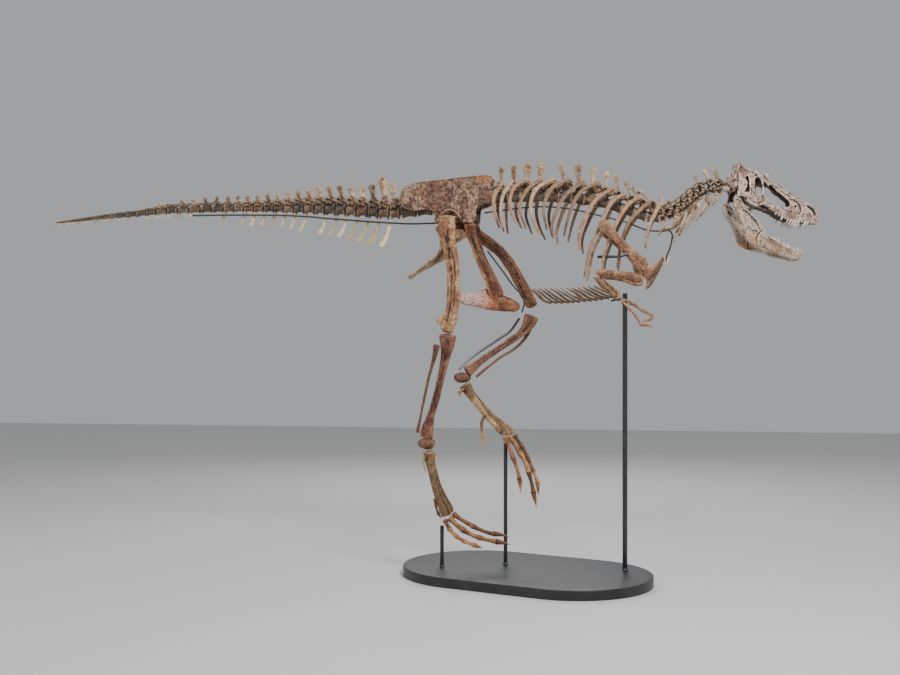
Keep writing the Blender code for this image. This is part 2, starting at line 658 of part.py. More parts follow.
def rib_sections(number, middle, frame, sign):
    """The wing of a back vertebra and the rib that it carries: a quarter of an oval, out and then down."""
    root_shift, tip_x, tip_z, reach = RIBS[number]
    start = frame.point(middle, 0.5 * root_shift, sign * WING_REACH, WING_RISE)
    sections = [(start, frame.ahead * 0.015, frame.up * 0.008)]
    path = [start]
    for step in range(1, RIB_STEPS + 1):
        angle = 0.5 * math.pi * step / RIB_STEPS
        out = math.sin(min(angle * 1.25, 0.5 * math.pi)) ** 0.9
        curl = 1.0 - 0.10 * max(0.0, step / RIB_STEPS - 0.6) / 0.4
        path.append(Vector((start.x + (tip_x - start.x) * math.sin(angle),
                            sign * (WING_REACH + (reach - WING_REACH) * out) * curl,
                            start.z + (tip_z - start.z) * (1.0 - math.cos(angle)))))
    for step in range(1, RIB_STEPS + 1):
        ahead = (path[min(step + 1, RIB_STEPS)] - path[step - 1]).normalized()
        u = (frame.ahead - ahead * ahead.dot(frame.ahead)).normalized()
        v = u.cross(ahead) * sign
        slim = 1.0 - step / RIB_STEPS
        sections.append((path[step], u * (0.0065 + 0.0055 * slim), v * (0.005 + 0.002 * slim)))
    return sections


def make_ribcages():
    """The rib cage in its two sides, with the backbone parted down its middle."""
    joints = trunk_joints()
    sizes = [(0.040 + 0.008 * i / TRUNK_COUNT, 0.042 + 0.008 * i / TRUNK_COUNT) for i in range(TRUNK_COUNT + 1)]
    ends = (neck_joints()[-2], sacrum_joints()[1])
    for side, sign in SIDE_SIGN.items():
        cage = column(joints, sizes, trunk_top(joints), wings=rib_sections, ends=ends, half=sign)
        build(f"ribcage_{side}", [cage], BONE_CREAM)


def chevron_sections(joint, frame):
    """The spike under a tail joint."""
    x = joint.x
    high = along(TAIL_HALF_HEIGHTS, x)
    length = along(CHEVRON_LENGTHS, x)
    ahead, side = frame.ahead, frame.side
    if x < CHEVRON_CHANGE_X:
        spot = frame.point(joint, 0.014, 0.0, -high - 0.35 * length)
        tip = frame.point(joint, -0.004, 0.0, -high - 0.80 * length)
        return [(spot, ahead * 0.014, side * 0.004), (tip, ahead * 0.012, side * 0.0025)]
    drop = high + 0.006
    neck = frame.point(joint, 0.014, 0.0, -drop)
    tip = frame.point(joint, 0.014 - 0.36 * length, 0.0, -drop - 0.95 * length)
    return [(neck, ahead * 0.012, side * 0.006), (tip, ahead * 0.014, side * 0.004)]


def tail_wing(number, middle, frame, sign, size):
    reach = size[0] + 0.115 * (1.0 - number / 15.0)
    return [(frame.point(middle, -0.006, sign * reach, size[1] * 0.80), frame.ahead * 0.013, frame.up * 0.006)]


def make_tail():
    """The tail in a few lengths. Its first vertebrae carry wings, all but the last few a spine."""
    joints = tail_joints()
    sizes = [(0.80 * high, high) for high in (along(TAIL_HALF_HEIGHTS, joint.x) for joint in joints)]
    for part, (first, last) in enumerate(zip(TAIL_CUTS, TAIL_CUTS[1:])):
        before = joints[first - 1] if first else sacrum_joints()[-2]
        after = joints[last + 1] if last < TAIL_COUNT else None
        own = [joint.copy() for joint in joints[first:last + 1]]
        own[0].x -= HAIR_GAP

        def top(k, first=first):
            i = first + k
            high = sizes[i][1]
            rise = along(TAIL_SPINE_RISE, joints[i].x - 0.03)
            length = (joints[i] - joints[i + 1]).length
            if rise < 0.05:
                return [(max(rise, high * 1.2), 0.36 * length, 0.30 * high, -0.01)]
            return [(high + 0.016, 0.26 * length, 0.30 * high, 0.0),
                    (rise, 0.27 * length + 0.004, 0.009, -0.012 - 0.10 * rise)]

        def under(k, joint, frame, last=last - first):
            return chevron_sections(joint, frame) if k < last - 1 or last + first == TAIL_COUNT else None

        def wings(k, middle, frame, sign, first=first):
            return tail_wing(first + k, middle, frame, sign, sizes[first + k])

        piece = column(own, sizes[first:last + 1], top, wings=wings if first < 12 else None,
                       under=under, ends=(before, after))
        build(f"tail_{part + 1}", [piece], BONE_CREAM)


# ---------------------------------------------------------------- hips
ILIUM_OUTLINE = ((-0.890, 2.845), (-0.765, 2.880), (-0.617, 2.892), (-0.470, 2.910), (-0.340, 2.922),
                 (-0.265, 2.920), (-0.225, 2.895), (-0.250, 2.840), (-0.215, 2.780), (-0.240, 2.725),
                 (-0.345, 2.685), (-0.385, 2.568), (-0.472, 2.577), (-0.500, 2.618), (-0.543, 2.638),
                 (-0.588, 2.615), (-0.635, 2.560), (-0.650, 2.655), (-0.730, 2.668), (-0.876, 2.680),
                 (-0.928, 2.755))
BOOT_OUTLINE = ((-0.500, 2.020), (-0.478, 2.058), (-0.350, 2.082), (-0.275, 2.105), (-0.160, 2.045),
                (-0.045, 1.990), (-0.050, 1.936), (-0.140, 1.928), (-0.230, 1.932), (-0.410, 1.968))


def ilium_sheet(x, z):
    """The hip blades lean together towards the top."""
    return 0.138 - 0.22 * (z - 2.56)


def make_hips():
    joints = sacrum_joints()
    sizes = [(0.048, 0.052)] * (SACRUM_COUNT + 1)

    def top(i):
        return [(0.080, 0.044, 0.022, 0.0), (0.135, 0.046, 0.012, 0.0)]

    def wings(i, middle, frame, sign):
        return [(frame.point(middle, 0.0, sign * 0.064, 0.020), frame.ahead * 0.026, frame.up * 0.016)]

    ends = (trunk_joints()[-2], tail_joints()[1])
    build("sacrum", [column(joints, sizes, top, wings=wings, ends=ends, waist=0.88)], BONE_TAN)
    blade = plate(ILIUM_OUTLINE, ilium_sheet, 0.014, 0.007, 0.020)
    build("ilium_left", [blade], BONE_TAN)
    build("ilium_right", [mirrored(blade)], BONE_TAN)

    pieces = [plate(BOOT_OUTLINE, lambda x, z: 0.0, 0.036, 0.016, 0.022)]
    for sign in (-1.0, 1.0):
        pieces.append(tube([(-0.392, sign * 0.128, 2.546), (-0.382, sign * 0.120, 2.480),
                            (-0.335, sign * 0.098, 2.340),
                            (-0.270, sign * 0.058, 2.180), (-0.215, sign * 0.022, 2.050)],
                           [(0.024, 0.042), (0.022, 0.040), (0.020, 0.036), (0.020, 0.040), (0.020, 0.050)]))
    build("pubis", pieces, BONE_RED)

    pieces = []
    for sign in (-1.0, 1.0):
        pieces.append(tube([(-0.618, sign * 0.122, 2.540), (-0.585, sign * 0.105, 2.470),
                            (-0.600, sign * 0.070, 2.370),
                            (-0.700, sign * 0.020, 2.290), (-0.870, sign * 0.008, 2.182)],
                           [(0.018, 0.036), (0.016, 0.040), (0.015, 0.034), (0.016, 0.026), (0.014, 0.018)]))
        pieces.append(tube([(-0.565, sign * 0.100, 2.450), (-0.500, sign * 0.100, 2.490),
                            (-0.445, sign * 0.104, 2.500)],
                           [(0.012, 0.030), (0.012, 0.030), (0.010, 0.020)]))
    build("ischium", pieces, BONE_TAN)


# ---------------------------------------------------------------- hind legs
def femur(path, halves, sign, head_at):
    """Thigh bone: a bowed shaft that ends in the knee rollers, and the ball that turns in towards the hip."""
    ball = tube([(head_at[0], sign * 0.112, head_at[1]), (head_at[0], sign * 0.128, head_at[1]),
                 (head_at[0], sign * 0.205, head_at[1] - 0.004)],
                [(0.024, 0.024), (0.040, 0.040), (0.034, 0.036)], 6, hint=(1.0, 0.0, 0.0))
    return [tube(path, halves), ball]


def bone(name, path, halves, colour, sides=6, extra=()):
    build(name, [tube(path, halves, sides)] + list(extra), colour)


def toe(path, bone_half, knobs, claw_start):
    """Finger or toe: knuckle after knuckle along the path, then a claw."""
    joints = walk(path, 2 * knobs)
    halves = []
    for k in range(2 * knobs + 1):
        share = k / (2.0 * knobs)
        if share > claw_start:
            fade = 1.0 - (share - claw_start) / (1.0 - claw_start)
            size = bone_half * (0.12 + 0.75 * fade)
        else:
            size = bone_half * (1.12 if k % 2 == 0 else 0.78) * (1.0 - 0.25 * share)
        halves.append((size, size))
    return tube(joints, halves, 5)


HIP_BALL = (-0.540, 2.576)            # x and height of both hip sockets' middle
RIGHT_FEMUR = ((-0.550, -0.213, 2.604), (-0.549, -0.213, 2.500), (-0.526, -0.214, 2.368), (-0.505, -0.220, 2.237),
               (-0.500, -0.226, 2.116), (-0.502, -0.232, 1.994), (-0.520, -0.242, 1.870), (-0.545, -0.250, 1.775))
LEFT_FEMUR = ((-0.575, 0.213, 2.612), (-0.470, 0.213, 2.560), (-0.333, 0.213, 2.474), (-0.215, 0.215, 2.380),
              (-0.134, 0.222, 2.274), (-0.068, 0.235, 2.155), (-0.010, 0.250, 2.043), (0.030, 0.260, 1.968))


RIGHT_FEMUR_HALVES = ((0.040, 0.066), (0.042, 0.062), (0.038, 0.051), (0.036, 0.048), (0.037, 0.049),
                      (0.040, 0.049), (0.048, 0.050), (0.054, 0.050))
LEFT_FEMUR_HALVES = ((0.040, 0.058), (0.042, 0.053), (0.038, 0.043), (0.036, 0.041), (0.037, 0.044),
                     (0.040, 0.045), (0.048, 0.048), (0.054, 0.050))


def make_right_leg():
    flange = tube([(-0.545, -0.262, 1.88), (-0.590, -0.266, 1.86), (-0.612, -0.266, 1.84)],
                  [(0.012, 0.035), (0.010, 0.030), (0.006, 0.016)], 5)
    build("femur_right", femur(RIGHT_FEMUR, RIGHT_FEMUR_HALVES, -1.0, HIP_BALL) + [flange], BONE_TAN)
    bone("tibia_right",
         [(-0.535, -0.245, 1.758), (-0.540, -0.243, 1.705), (-0.556, -0.232, 1.605), (-0.583, -0.215, 1.493),
          (-0.610, -0.200, 1.384), (-0.642, -0.181, 1.275), (-0.674, -0.165, 1.180), (-0.706, -0.150, 1.085),
          (-0.716, -0.141, 1.020)],
         [(0.050, 0.068), (0.046, 0.060), (0.030, 0.036), (0.027, 0.030), (0.026, 0.028), (0.026, 0.028),
          (0.028, 0.028), (0.038, 0.034), (0.045, 0.036)], BONE_RED)
    bone("fibula_right",
         [(-0.606, -0.318, 1.690), (-0.618, -0.306, 1.630), (-0.645, -0.280, 1.545), (-0.675, -0.256, 1.450),
          (-0.700, -0.238, 1.349), (-0.724, -0.218, 1.254), (-0.748, -0.200, 1.145), (-0.768, -0.196, 1.055)],
         [(0.012, 0.028), (0.012, 0.020), (0.011, 0.014), (0.010, 0.012), (0.010, 0.012), (0.009, 0.011),
          (0.009, 0.011), (0.011, 0.014)], BONE_RED, sides=5)
    roller = tube([(-0.712, -0.200, 0.975), (-0.712, -0.190, 0.975),
                   (-0.708, -0.105, 0.975), (-0.706, -0.092, 0.975)],
                  [(0.030, 0.026), (0.048, 0.036), (0.044, 0.036), (0.028, 0.024)], 6, hint=(1.0, 0.0, 0.0))
    heel = tube([(-0.700, -0.140, 0.955), (-0.698, -0.140, 0.934)], [(0.052, 0.046), (0.050, 0.044)])
    build("ankle_right", [roller, heel], BONE_TAN)
    shafts = []
    for lateral, foot in ((-0.108, (-0.545, -0.048, 0.470)), (-0.133, (-0.555, -0.096, 0.450)),
                          (-0.160, (-0.578, -0.146, 0.446))):
        top = Vector((-0.690, lateral, 0.914))
        low = Vector(foot)
        bow = Vector((-0.022, 0.0, 0.0))
        shafts.append(tube([top, top.lerp(low, 0.30) + bow, top.lerp(low, 0.65) + bow, top.lerp(low, 0.90), low],
                           [(0.022, 0.038), (0.018, 0.026), (0.017, 0.024), (0.021, 0.030), (0.020, 0.026)]))
    shafts.append(tube([(-0.708, -0.168, 0.895), (-0.728, -0.178, 0.840), (-0.705, -0.184, 0.768)],
                       [(0.012, 0.014), (0.009, 0.010), (0.004, 0.005)], 5))
    build("metatarsus_right", shafts, BONE_CREAM)
    build("hallux_right", [toe([(-0.664, -0.060, 0.560), (-0.656, -0.050, 0.500), (-0.640, -0.045, 0.450),
                                (-0.606, -0.042, 0.402)], 0.014, 3, 0.45)], BONE_TAN)
    build("toe_inner_right", [toe([(-0.520, -0.040, 0.438), (-0.432, -0.022, 0.385), (-0.346, -0.005, 0.338),
                                   (-0.266, 0.006, 0.309), (-0.193, 0.014, 0.300), (-0.113, 0.020, 0.280)],
                                  0.022, 4, 0.70)], BONE_TAN)
    build("toe_middle_right", [toe([(-0.538, -0.096, 0.412), (-0.472, -0.096, 0.360), (-0.400, -0.094, 0.317),
                                    (-0.327, -0.092, 0.290), (-0.254, -0.090, 0.273), (-0.182, -0.087, 0.261),
                                    (-0.094, -0.085, 0.243)], 0.024, 5, 0.76)], BONE_TAN)
    build("toe_outer_right", [toe([(-0.570, -0.155, 0.406), (-0.536, -0.162, 0.358), (-0.490, -0.170, 0.312),
                                   (-0.439, -0.176, 0.281), (-0.387, -0.180, 0.262), (-0.344, -0.182, 0.248),
                                   (-0.286, -0.182, 0.228)], 0.021, 6, 0.78)], BONE_TAN)


def make_left_leg():
    build("femur_left", femur(LEFT_FEMUR, LEFT_FEMUR_HALVES, 1.0, HIP_BALL), BONE_RED)
    bone("tibia_left",
         [(0.020, 0.250, 1.905), (-0.004, 0.248, 1.850), (-0.050, 0.240, 1.782), (-0.142, 0.216, 1.712),
          (-0.215, 0.193, 1.662), (-0.287, 0.170, 1.612), (-0.360, 0.145, 1.560), (-0.425, 0.122, 1.506),
          (-0.448, 0.112, 1.488)],
         [(0.048, 0.058), (0.042, 0.050), (0.030, 0.032), (0.026, 0.027), (0.025, 0.025), (0.025, 0.025),
          (0.028, 0.028), (0.038, 0.034), (0.042, 0.034)], BONE_RED)
    bone("fibula_left",
         [(0.010, 0.325, 1.846), (-0.030, 0.305, 1.745), (-0.110, 0.278, 1.658), (-0.217, 0.240, 1.590),
          (-0.310, 0.208, 1.515), (-0.392, 0.180, 1.446)],
         [(0.012, 0.024), (0.011, 0.015), (0.010, 0.012), (0.009, 0.011), (0.009, 0.011), (0.011, 0.012)],
         BONE_RED, sides=5)
    roller = tube([(-0.482, 0.160, 1.442), (-0.484, 0.150, 1.442),
                   (-0.488, 0.062, 1.444), (-0.488, 0.050, 1.444)],
                  [(0.028, 0.024), (0.044, 0.034), (0.042, 0.034), (0.026, 0.022)], 6, hint=(1.0, 0.0, 0.0))
    build("ankle_left", [roller], BONE_TAN)
    shafts = []
    for lateral, foot in ((0.075, (-0.168, 0.040, 1.032)), (0.100, (-0.142, 0.086, 1.030)),
                          (0.126, (-0.116, 0.130, 1.036))):
        top = Vector((-0.470, lateral, 1.392))
        low = Vector(foot)
        bow = Vector((-0.012, 0.0, -0.010))
        shafts.append(tube([top, top.lerp(low, 0.30) + bow, top.lerp(low, 0.65) + bow, top.lerp(low, 0.90), low],
                           [(0.022, 0.036), (0.018, 0.026), (0.017, 0.024), (0.021, 0.030), (0.020, 0.026)]))
    shafts.append(tube([(-0.470, 0.052, 1.360), (-0.500, 0.046, 1.335), (-0.490, 0.044, 1.305)],
                       [(0.012, 0.014), (0.012, 0.016), (0.006, 0.008)], 5))
    build("metatarsus_left", shafts, BONE_CREAM)
    build("hallux_left", [toe([(-0.300, 0.024, 1.175), (-0.328, 0.020, 1.120), (-0.328, 0.018, 1.060),
                               (-0.313, 0.018, 0.980), (-0.340, 0.020, 0.906)], 0.015, 4, 0.55)], BONE_TAN)
    build("toe_inner_left", [toe([(-0.150, 0.036, 0.995), (-0.123, 0.034, 0.930), (-0.093, 0.032, 0.843),
                                  (-0.063, 0.030, 0.757), (-0.048, 0.028, 0.684), (-0.041, 0.026, 0.590)],
                                 0.021, 4, 0.70)], BONE_TAN)
    build("toe_middle_left", [toe([(-0.118, 0.087, 0.992), (-0.061, 0.087, 0.905), (-0.009, 0.087, 0.805),
                                   (0.028, 0.087, 0.687), (0.050, 0.087, 0.584), (0.072, 0.087, 0.475)],
                                  0.023, 5, 0.76)], BONE_TAN)
    build("toe_outer_left", [toe([(-0.088, 0.134, 1.002), (-0.028, 0.138, 0.905), (0.030, 0.144, 0.776),
                                  (0.067, 0.148, 0.680), (0.078, 0.152, 0.560)], 0.020, 6, 0.78)], BONE_TAN)


# ---------------------------------------------------------------- shoulders, arms and belly ribs
def shoulder_solids():
    blade = tube([(0.545, -0.286, 2.553), (0.560, -0.286, 2.535), (0.625, -0.282, 2.464), (0.714, -0.275, 2.378),
                  (0.785, -0.268, 2.304), (0.830, -0.258, 2.252)],
                 [(0.006, 0.030), (0.010, 0.046), (0.010, 0.036), (0.012, 0.028), (0.014, 0.042), (0.014, 0.070)])
    plate_bone = tube([(0.835, -0.258, 2.245), (0.880, -0.240, 2.215), (0.915, -0.205, 2.200),
                       (0.928, -0.165, 2.196), (0.935, -0.130, 2.192)],
                      [(0.018, 0.046), (0.017, 0.078), (0.016, 0.112), (0.014, 0.120), (0.010, 0.100)],
                      6, hint=(0.878, 0.0, -0.478))
    return [blade, plate_bone]


def hand(wrist, fingers, half):
    """Palm bones and two fingers; each finger is (knuckle, bend, fingertip, claw tip)."""
    pieces = [tube([wrist + Vector((-0.018, 0.0, 0.012)), wrist + Vector((0.014, 0.0, -0.012))],
                   [(0.024, 0.018), (0.026, 0.018)], 5)]
    for number, (knuckle, bend, fingertip, claw_tip) in enumerate(fingers):
        start = wrist.lerp(knuckle, 0.04 + 0.03 * number)
        pieces.append(tube([start, wrist.lerp(knuckle, 0.55), knuckle, bend, fingertip],
                           [(half, half), (half * 0.75, half * 0.75), (half * 1.1, half * 1.1),
                            (half * 0.80, half * 0.85), (half * 0.95, half * 0.95)], 5))
        inside = fingertip.lerp(bend, 0.06)
        pieces.append(tube([inside, inside.lerp(claw_tip, 0.5) + Vector((0.0, 0.0, 0.004)), claw_tip],
                           [(half * 0.62, half * 0.86), (half * 0.5, half * 0.6), (0.0014, 0.0016)], 5))
    return pieces


def make_arms():
    shoulder = shoulder_solids()
    build("scapula_right", shoulder, BONE_PINK)
    build("scapula_left", [mirrored(piece) for piece in shoulder], BONE_PINK)
    for side, sign in SIDE_SIGN.items():
        build(f"humerus_{side}",
              [tube([(0.830, sign * 0.292, 2.142), (0.800, sign * 0.296, 2.150), (0.735, sign * 0.300, 2.170),
                     (0.650, sign * 0.304, 2.184), (0.560, sign * 0.306, 2.192), (0.520, sign * 0.306, 2.193)],
                    [(0.020, 0.026), (0.024, 0.036), (0.021, 0.031), (0.018, 0.023), (0.020, 0.023),
                     (0.018, 0.018)])],
              BONE_PINK)
    for side, sign in SIDE_SIGN.items():
        build(f"ulna_{side}",
              [tube([(0.510, sign * 0.314, 2.163), (0.530, sign * 0.314, 2.137), (0.580, sign * 0.308, 2.090),
                     (0.640, sign * 0.300, 2.030)],
                    [(0.013, 0.018), (0.013, 0.017), (0.011, 0.015), (0.011, 0.015)], 5)], BONE_PINK)
        build(f"radius_{side}",
              [tube([(0.560, sign * 0.284, 2.154), (0.590, sign * 0.280, 2.125), (0.630, sign * 0.275, 2.085),
                     (0.672, sign * 0.270, 2.048)],
                    [(0.012, 0.014), (0.011, 0.012), (0.010, 0.011), (0.012, 0.013)], 5)], BONE_PINK)
        wrist = Vector((0.685, sign * 0.284, 2.012))
        fingers = [[Vector(p) for p in ((0.772, sign * 0.296, 1.916), (0.802, sign * 0.294, 1.872),
                                        (0.826, sign * 0.292, 1.822), (0.914, sign * 0.290, 1.810))],
                   [Vector(p) for p in ((0.768, sign * 0.258, 1.982), (0.835, sign * 0.252, 1.936),
                                        (0.916, sign * 0.250, 1.890), (0.832, sign * 0.250, 1.860))]]
        build(f"hand_{side}", hand(wrist, fingers, 0.0125), BONE_PINK)
    build("furcula",
          [tube([(0.985, -0.085, 2.330), (0.996, -0.045, 2.280), (1.002, 0.0, 2.250), (1.012, 0.045, 2.280),
                 (1.030, 0.085, 2.320)],
                [(0.005, 0.006), (0.006, 0.008), (0.006, 0.008), (0.006, 0.008), (0.005, 0.006)], 5,
                hint=(1.0, 0.0, 0.0))], BONE_CREAM)


BELLY_COUNT = 13
BELLY_FIRST_X = 0.155
BELLY_STEP = 0.041


def make_belly_ribs():
    """Belly ribs: slender chevrons whose middles lock into each other along the middle line."""
    pieces = []
    for number in range(BELLY_COUNT):
        share = number / (BELLY_COUNT - 1)
        x = BELLY_FIRST_X + BELLY_STEP * number
        z = 1.994 + 0.045 * share * share
        rise = 0.105 - 0.035 * share
        back = 0.125 + 0.03 * share
        span = 0.150 - 0.03 * abs(share - 0.4)
        arm = [(-back, span, rise), (-0.5 * back, 0.6 * span, 0.42 * rise)]
        left = [(x + dx, dy, z + dz) for dx, dy, dz in arm]
        right = [(px, -py, pz) for px, py, pz in reversed(left)]
        solid = tube(left + [(x, 0.0, z)] + right,
                     [(0.0035, 0.0035), (0.0075, 0.0065), (0.033, 0.0075), (0.0075, 0.0065), (0.0035, 0.0035)], 4,
                     hint=(1.0, 0.0, 0.0))
        pieces.append(solid)
    build("belly_ribs", pieces, BONE_TAN)


def main():
    for thing in list(bpy.data.objects):
        bpy.data.objects.remove(thing, do_unlink=True)
    make_stand()
    make_skull()
    make_jaw()
    make_neck()
    make_ribcages()
    make_tail()
    make_hips()
    make_right_leg()
    make_left_leg()
    make_arms()
    make_belly_ribs()


main()
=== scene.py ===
"""Looks of a mounted skeleton of a young tyrannosaurid, walking, on its oval steel base.

Metres, +Z up, +X towards the head, +Y to the animal's left. The bones are worked
out about their own middle plane (y = 0) and moved to MIDPLANE_Y when meshed.
"""

import logging
import math
from dataclasses import dataclass
from enum import Enum
from typing import Callable, Iterator, Optional, Sequence

import bpy
import numpy as np
from mathutils import Matrix


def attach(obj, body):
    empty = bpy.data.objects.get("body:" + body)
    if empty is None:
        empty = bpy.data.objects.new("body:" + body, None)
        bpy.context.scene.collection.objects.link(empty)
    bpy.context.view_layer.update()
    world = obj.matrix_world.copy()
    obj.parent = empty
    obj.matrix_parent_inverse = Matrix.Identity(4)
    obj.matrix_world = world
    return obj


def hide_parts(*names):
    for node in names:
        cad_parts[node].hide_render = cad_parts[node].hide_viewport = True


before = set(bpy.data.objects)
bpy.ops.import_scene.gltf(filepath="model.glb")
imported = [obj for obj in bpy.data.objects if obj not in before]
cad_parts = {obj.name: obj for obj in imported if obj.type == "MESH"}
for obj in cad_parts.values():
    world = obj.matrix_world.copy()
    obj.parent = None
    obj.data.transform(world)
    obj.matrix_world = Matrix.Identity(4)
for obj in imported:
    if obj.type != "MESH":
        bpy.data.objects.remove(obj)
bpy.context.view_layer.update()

log = logging.getLogger("skeleton")

MIDPLANE_Y = 0.06                     # the skeleton stands a little left of the base's centre
TWO_PI = 2.0 * math.pi
AHEAD = (1.0, 0.0, 0.0)
TABLE_STEPS = 400                     # rows of a smooth line that is read as a table
BLEND_STEPS = 6                       # rings over which the tones of fused bones blend
SHAFT_STEPS = 80                      # places at which a shaft's edges are looked up
PATH_STEPS = 200                      # places along a toe or a finger
BLADE_RINGS = 22                      # rings on one face of a flat bone
CUTTER_RINGS, CUTTER_AROUND = 5, 60
SWOLLEN_KNUCKLE, THIN_MIDDLE = 1.12, 0.72
HIP_SOCKET_X, HIP_SOCKET_Z = -0.540, 2.576
CAMERA_SENSOR = 36.0

Point = tuple[float, float, float]
Colour = tuple[float, float, float]
Rows = Sequence[Sequence[float]]


class Side(Enum):
    """Which side of the animal a bone belongs to; the value is the sign of y."""

    RIGHT = -1.0
    LEFT = 1.0


# ---------------------------------------------------------------- numbers into shapes
def mm(*rows: Sequence[float]) -> Rows:
    """Rows of millimetres, in metres."""
    return tuple(tuple(value / 1000.0 for value in row) for row in rows)


def spline(rows: Rows, count: int, closed: bool = False) -> np.ndarray:
    """Smooth line through rows: cubic pieces whose slopes are the mean slopes of their neighbours.

    Args:
        rows: points to pass through; the first three columns set the spacing.
        count: how many points to return, at even steps of the chord length.
        closed: whether the line comes back to its first row.

    Returns:
        An array of count rows with the same columns.
    """
    knots = np.asarray(rows, float)
    if closed:
        knots = np.vstack([knots[-2:], knots, knots[:3]])
    run = np.concatenate([[0.0], np.cumsum(np.linalg.norm(np.diff(knots[:, :3], axis=0), axis=1))])
    slope = np.gradient(knots, run, axis=0)
    if closed:
        want = np.linspace(run[2], run[-3], count, endpoint=False)
    else:
        want = np.linspace(0.0, run[-1], count)
    i = np.clip(np.searchsorted(run, want, side="right") - 1, 0, len(run) - 2)
    h = (run[i + 1] - run[i])[:, None]
    t = (want - run[i])[:, None] / h
    return ((2 * t**3 - 3 * t**2 + 1) * knots[i] + (t**3 - 2 * t**2 + t) * h * slope[i]
            + (3 * t**2 - 2 * t**3) * knots[i + 1] + (t**3 - t**2) * h * slope[i + 1])


def along(table: Rows, x: np.ndarray | float) -> np.ndarray | float:
    """Value at x from rows of (x, value), straight between rows."""
    rows = np.array(sorted(table), float)
    return np.interp(x, rows[:, 0], rows[:, 1])


def columns(table: np.ndarray, x: np.ndarray | float) -> Iterator[np.ndarray | float]:
    """Each column of a table after its first, at the places x of the first."""
    return (np.interp(x, table[:, 0], table[:, k]) for k in range(1, table.shape[1]))


def value_noise(points: np.ndarray, size: float, seed: int) -> np.ndarray:
    """Smooth noise from -1 to 1: hashed values at the corners of cubes of the given size, blended by 3t^2 - 2t^3.

    Args:
        points: (n, 3) places.
        size: edge of a cube.
        seed: picks another pattern.

    Returns:
        (n,) values.
    """
    scaled = points / size
    cell = np.floor(scaled).astype(np.int64)
    t = scaled - cell
    t = t * t * (3.0 - 2.0 * t)
    total = np.zeros(len(points))
    for corner in range(8):
        step = np.array([corner & 1, (corner >> 1) & 1, (corner >> 2) & 1])
        c = cell + step
        mixed = (c[:, 0] * 73856093) ^ (c[:, 1] * 19349663) ^ (c[:, 2] * 83492791) ^ (seed * 40503)
        mixed = ((mixed ^ (mixed >> 13)) * 1274126177) & 0x7FFFFFFF
        mixed = mixed ^ (mixed >> 15)
        weight = np.prod(np.where(step == 1, t, 1.0 - t), axis=1)
        total += weight * ((mixed & 0xFFFF) / 32767.5 - 1.0)
    return total


DOME_ANGLES = np.linspace(0.0, math.pi / 2.0, 6)[1:-1]


def sweep(rows: Rows, hint: Sequence[float] = (0.0, 1.0, 0.0), steps: int = 40, around: int = 20,
          power: float = 2.0, dome: float = 0.7,
          carve: Optional[Callable[[np.ndarray, np.ndarray], np.ndarray]] = None) -> np.ndarray:
    """Closed surface round a path, with domed ends.

    A point is centre + side * a * c + up * b * s, where c and s are the signed cosine and sine
    of the ring's angle to the power 2 / power, and a and b follow the path.

    Args:
        rows: (x, y, z, a, b) along the path.
        hint: direction that a is measured along, made square to the path.
        steps: rings along the path.
        around: points in a ring.
        power: 2 is an oval, larger is more of a box.
        dome: height of the end domes, as a share of the mean radius there.
        carve: factor on the radii from (share of the path, angle).

    Returns:
        Grid of shape (rings, around, 3), its rings closed.
    """
    line = spline(rows, steps)
    centre, wide, deep = line[:, :3], line[:, 3], line[:, 4]
    ahead = np.gradient(centre, axis=0)
    ahead /= np.linalg.norm(ahead, axis=1, keepdims=True)
    side = np.asarray(hint, float)[None, :] - ahead * (ahead @ np.asarray(hint, float))[:, None]
    side /= np.linalg.norm(side, axis=1, keepdims=True)
    share = np.linspace(0.0, 1.0, steps)
    first = dome * 0.5 * (wide[0] + deep[0])
    last = dome * 0.5 * (wide[-1] + deep[-1])
    back = DOME_ANGLES[::-1]
    centre = np.vstack([centre[0] - ahead[0] * first * np.sin(back)[:, None], centre,
                        centre[-1] + ahead[-1] * last * np.sin(DOME_ANGLES)[:, None]])
    shrink = np.concatenate([np.cos(back), np.ones(steps), np.cos(DOME_ANGLES)])
    ends = len(DOME_ANGLES)
    ahead, side = (np.vstack([np.repeat(v[:1], ends, 0), v, np.repeat(v[-1:], ends, 0)]) for v in (ahead, side))
    wide, deep, share = (np.concatenate([np.full(ends, v[0]), v, np.full(ends, v[-1])]) for v in (wide, deep, share))
    up = np.cross(ahead, side)
    angle = np.linspace(0.0, TWO_PI, around, endpoint=False)
    c = np.sign(np.cos(angle)) * np.abs(np.cos(angle)) ** (2.0 / power)
    s = np.sign(np.sin(angle)) * np.abs(np.sin(angle)) ** (2.0 / power)
    factor = shrink[:, None]
    if carve is not None:
        factor = factor * carve(share[:, None], angle[None, :])
    return (centre[:, None, :] + side[:, None, :] * (wide[:, None] * factor * c[None, :])[..., None]
            + up[:, None, :] * (deep[:, None] * factor * s[None, :])[..., None])


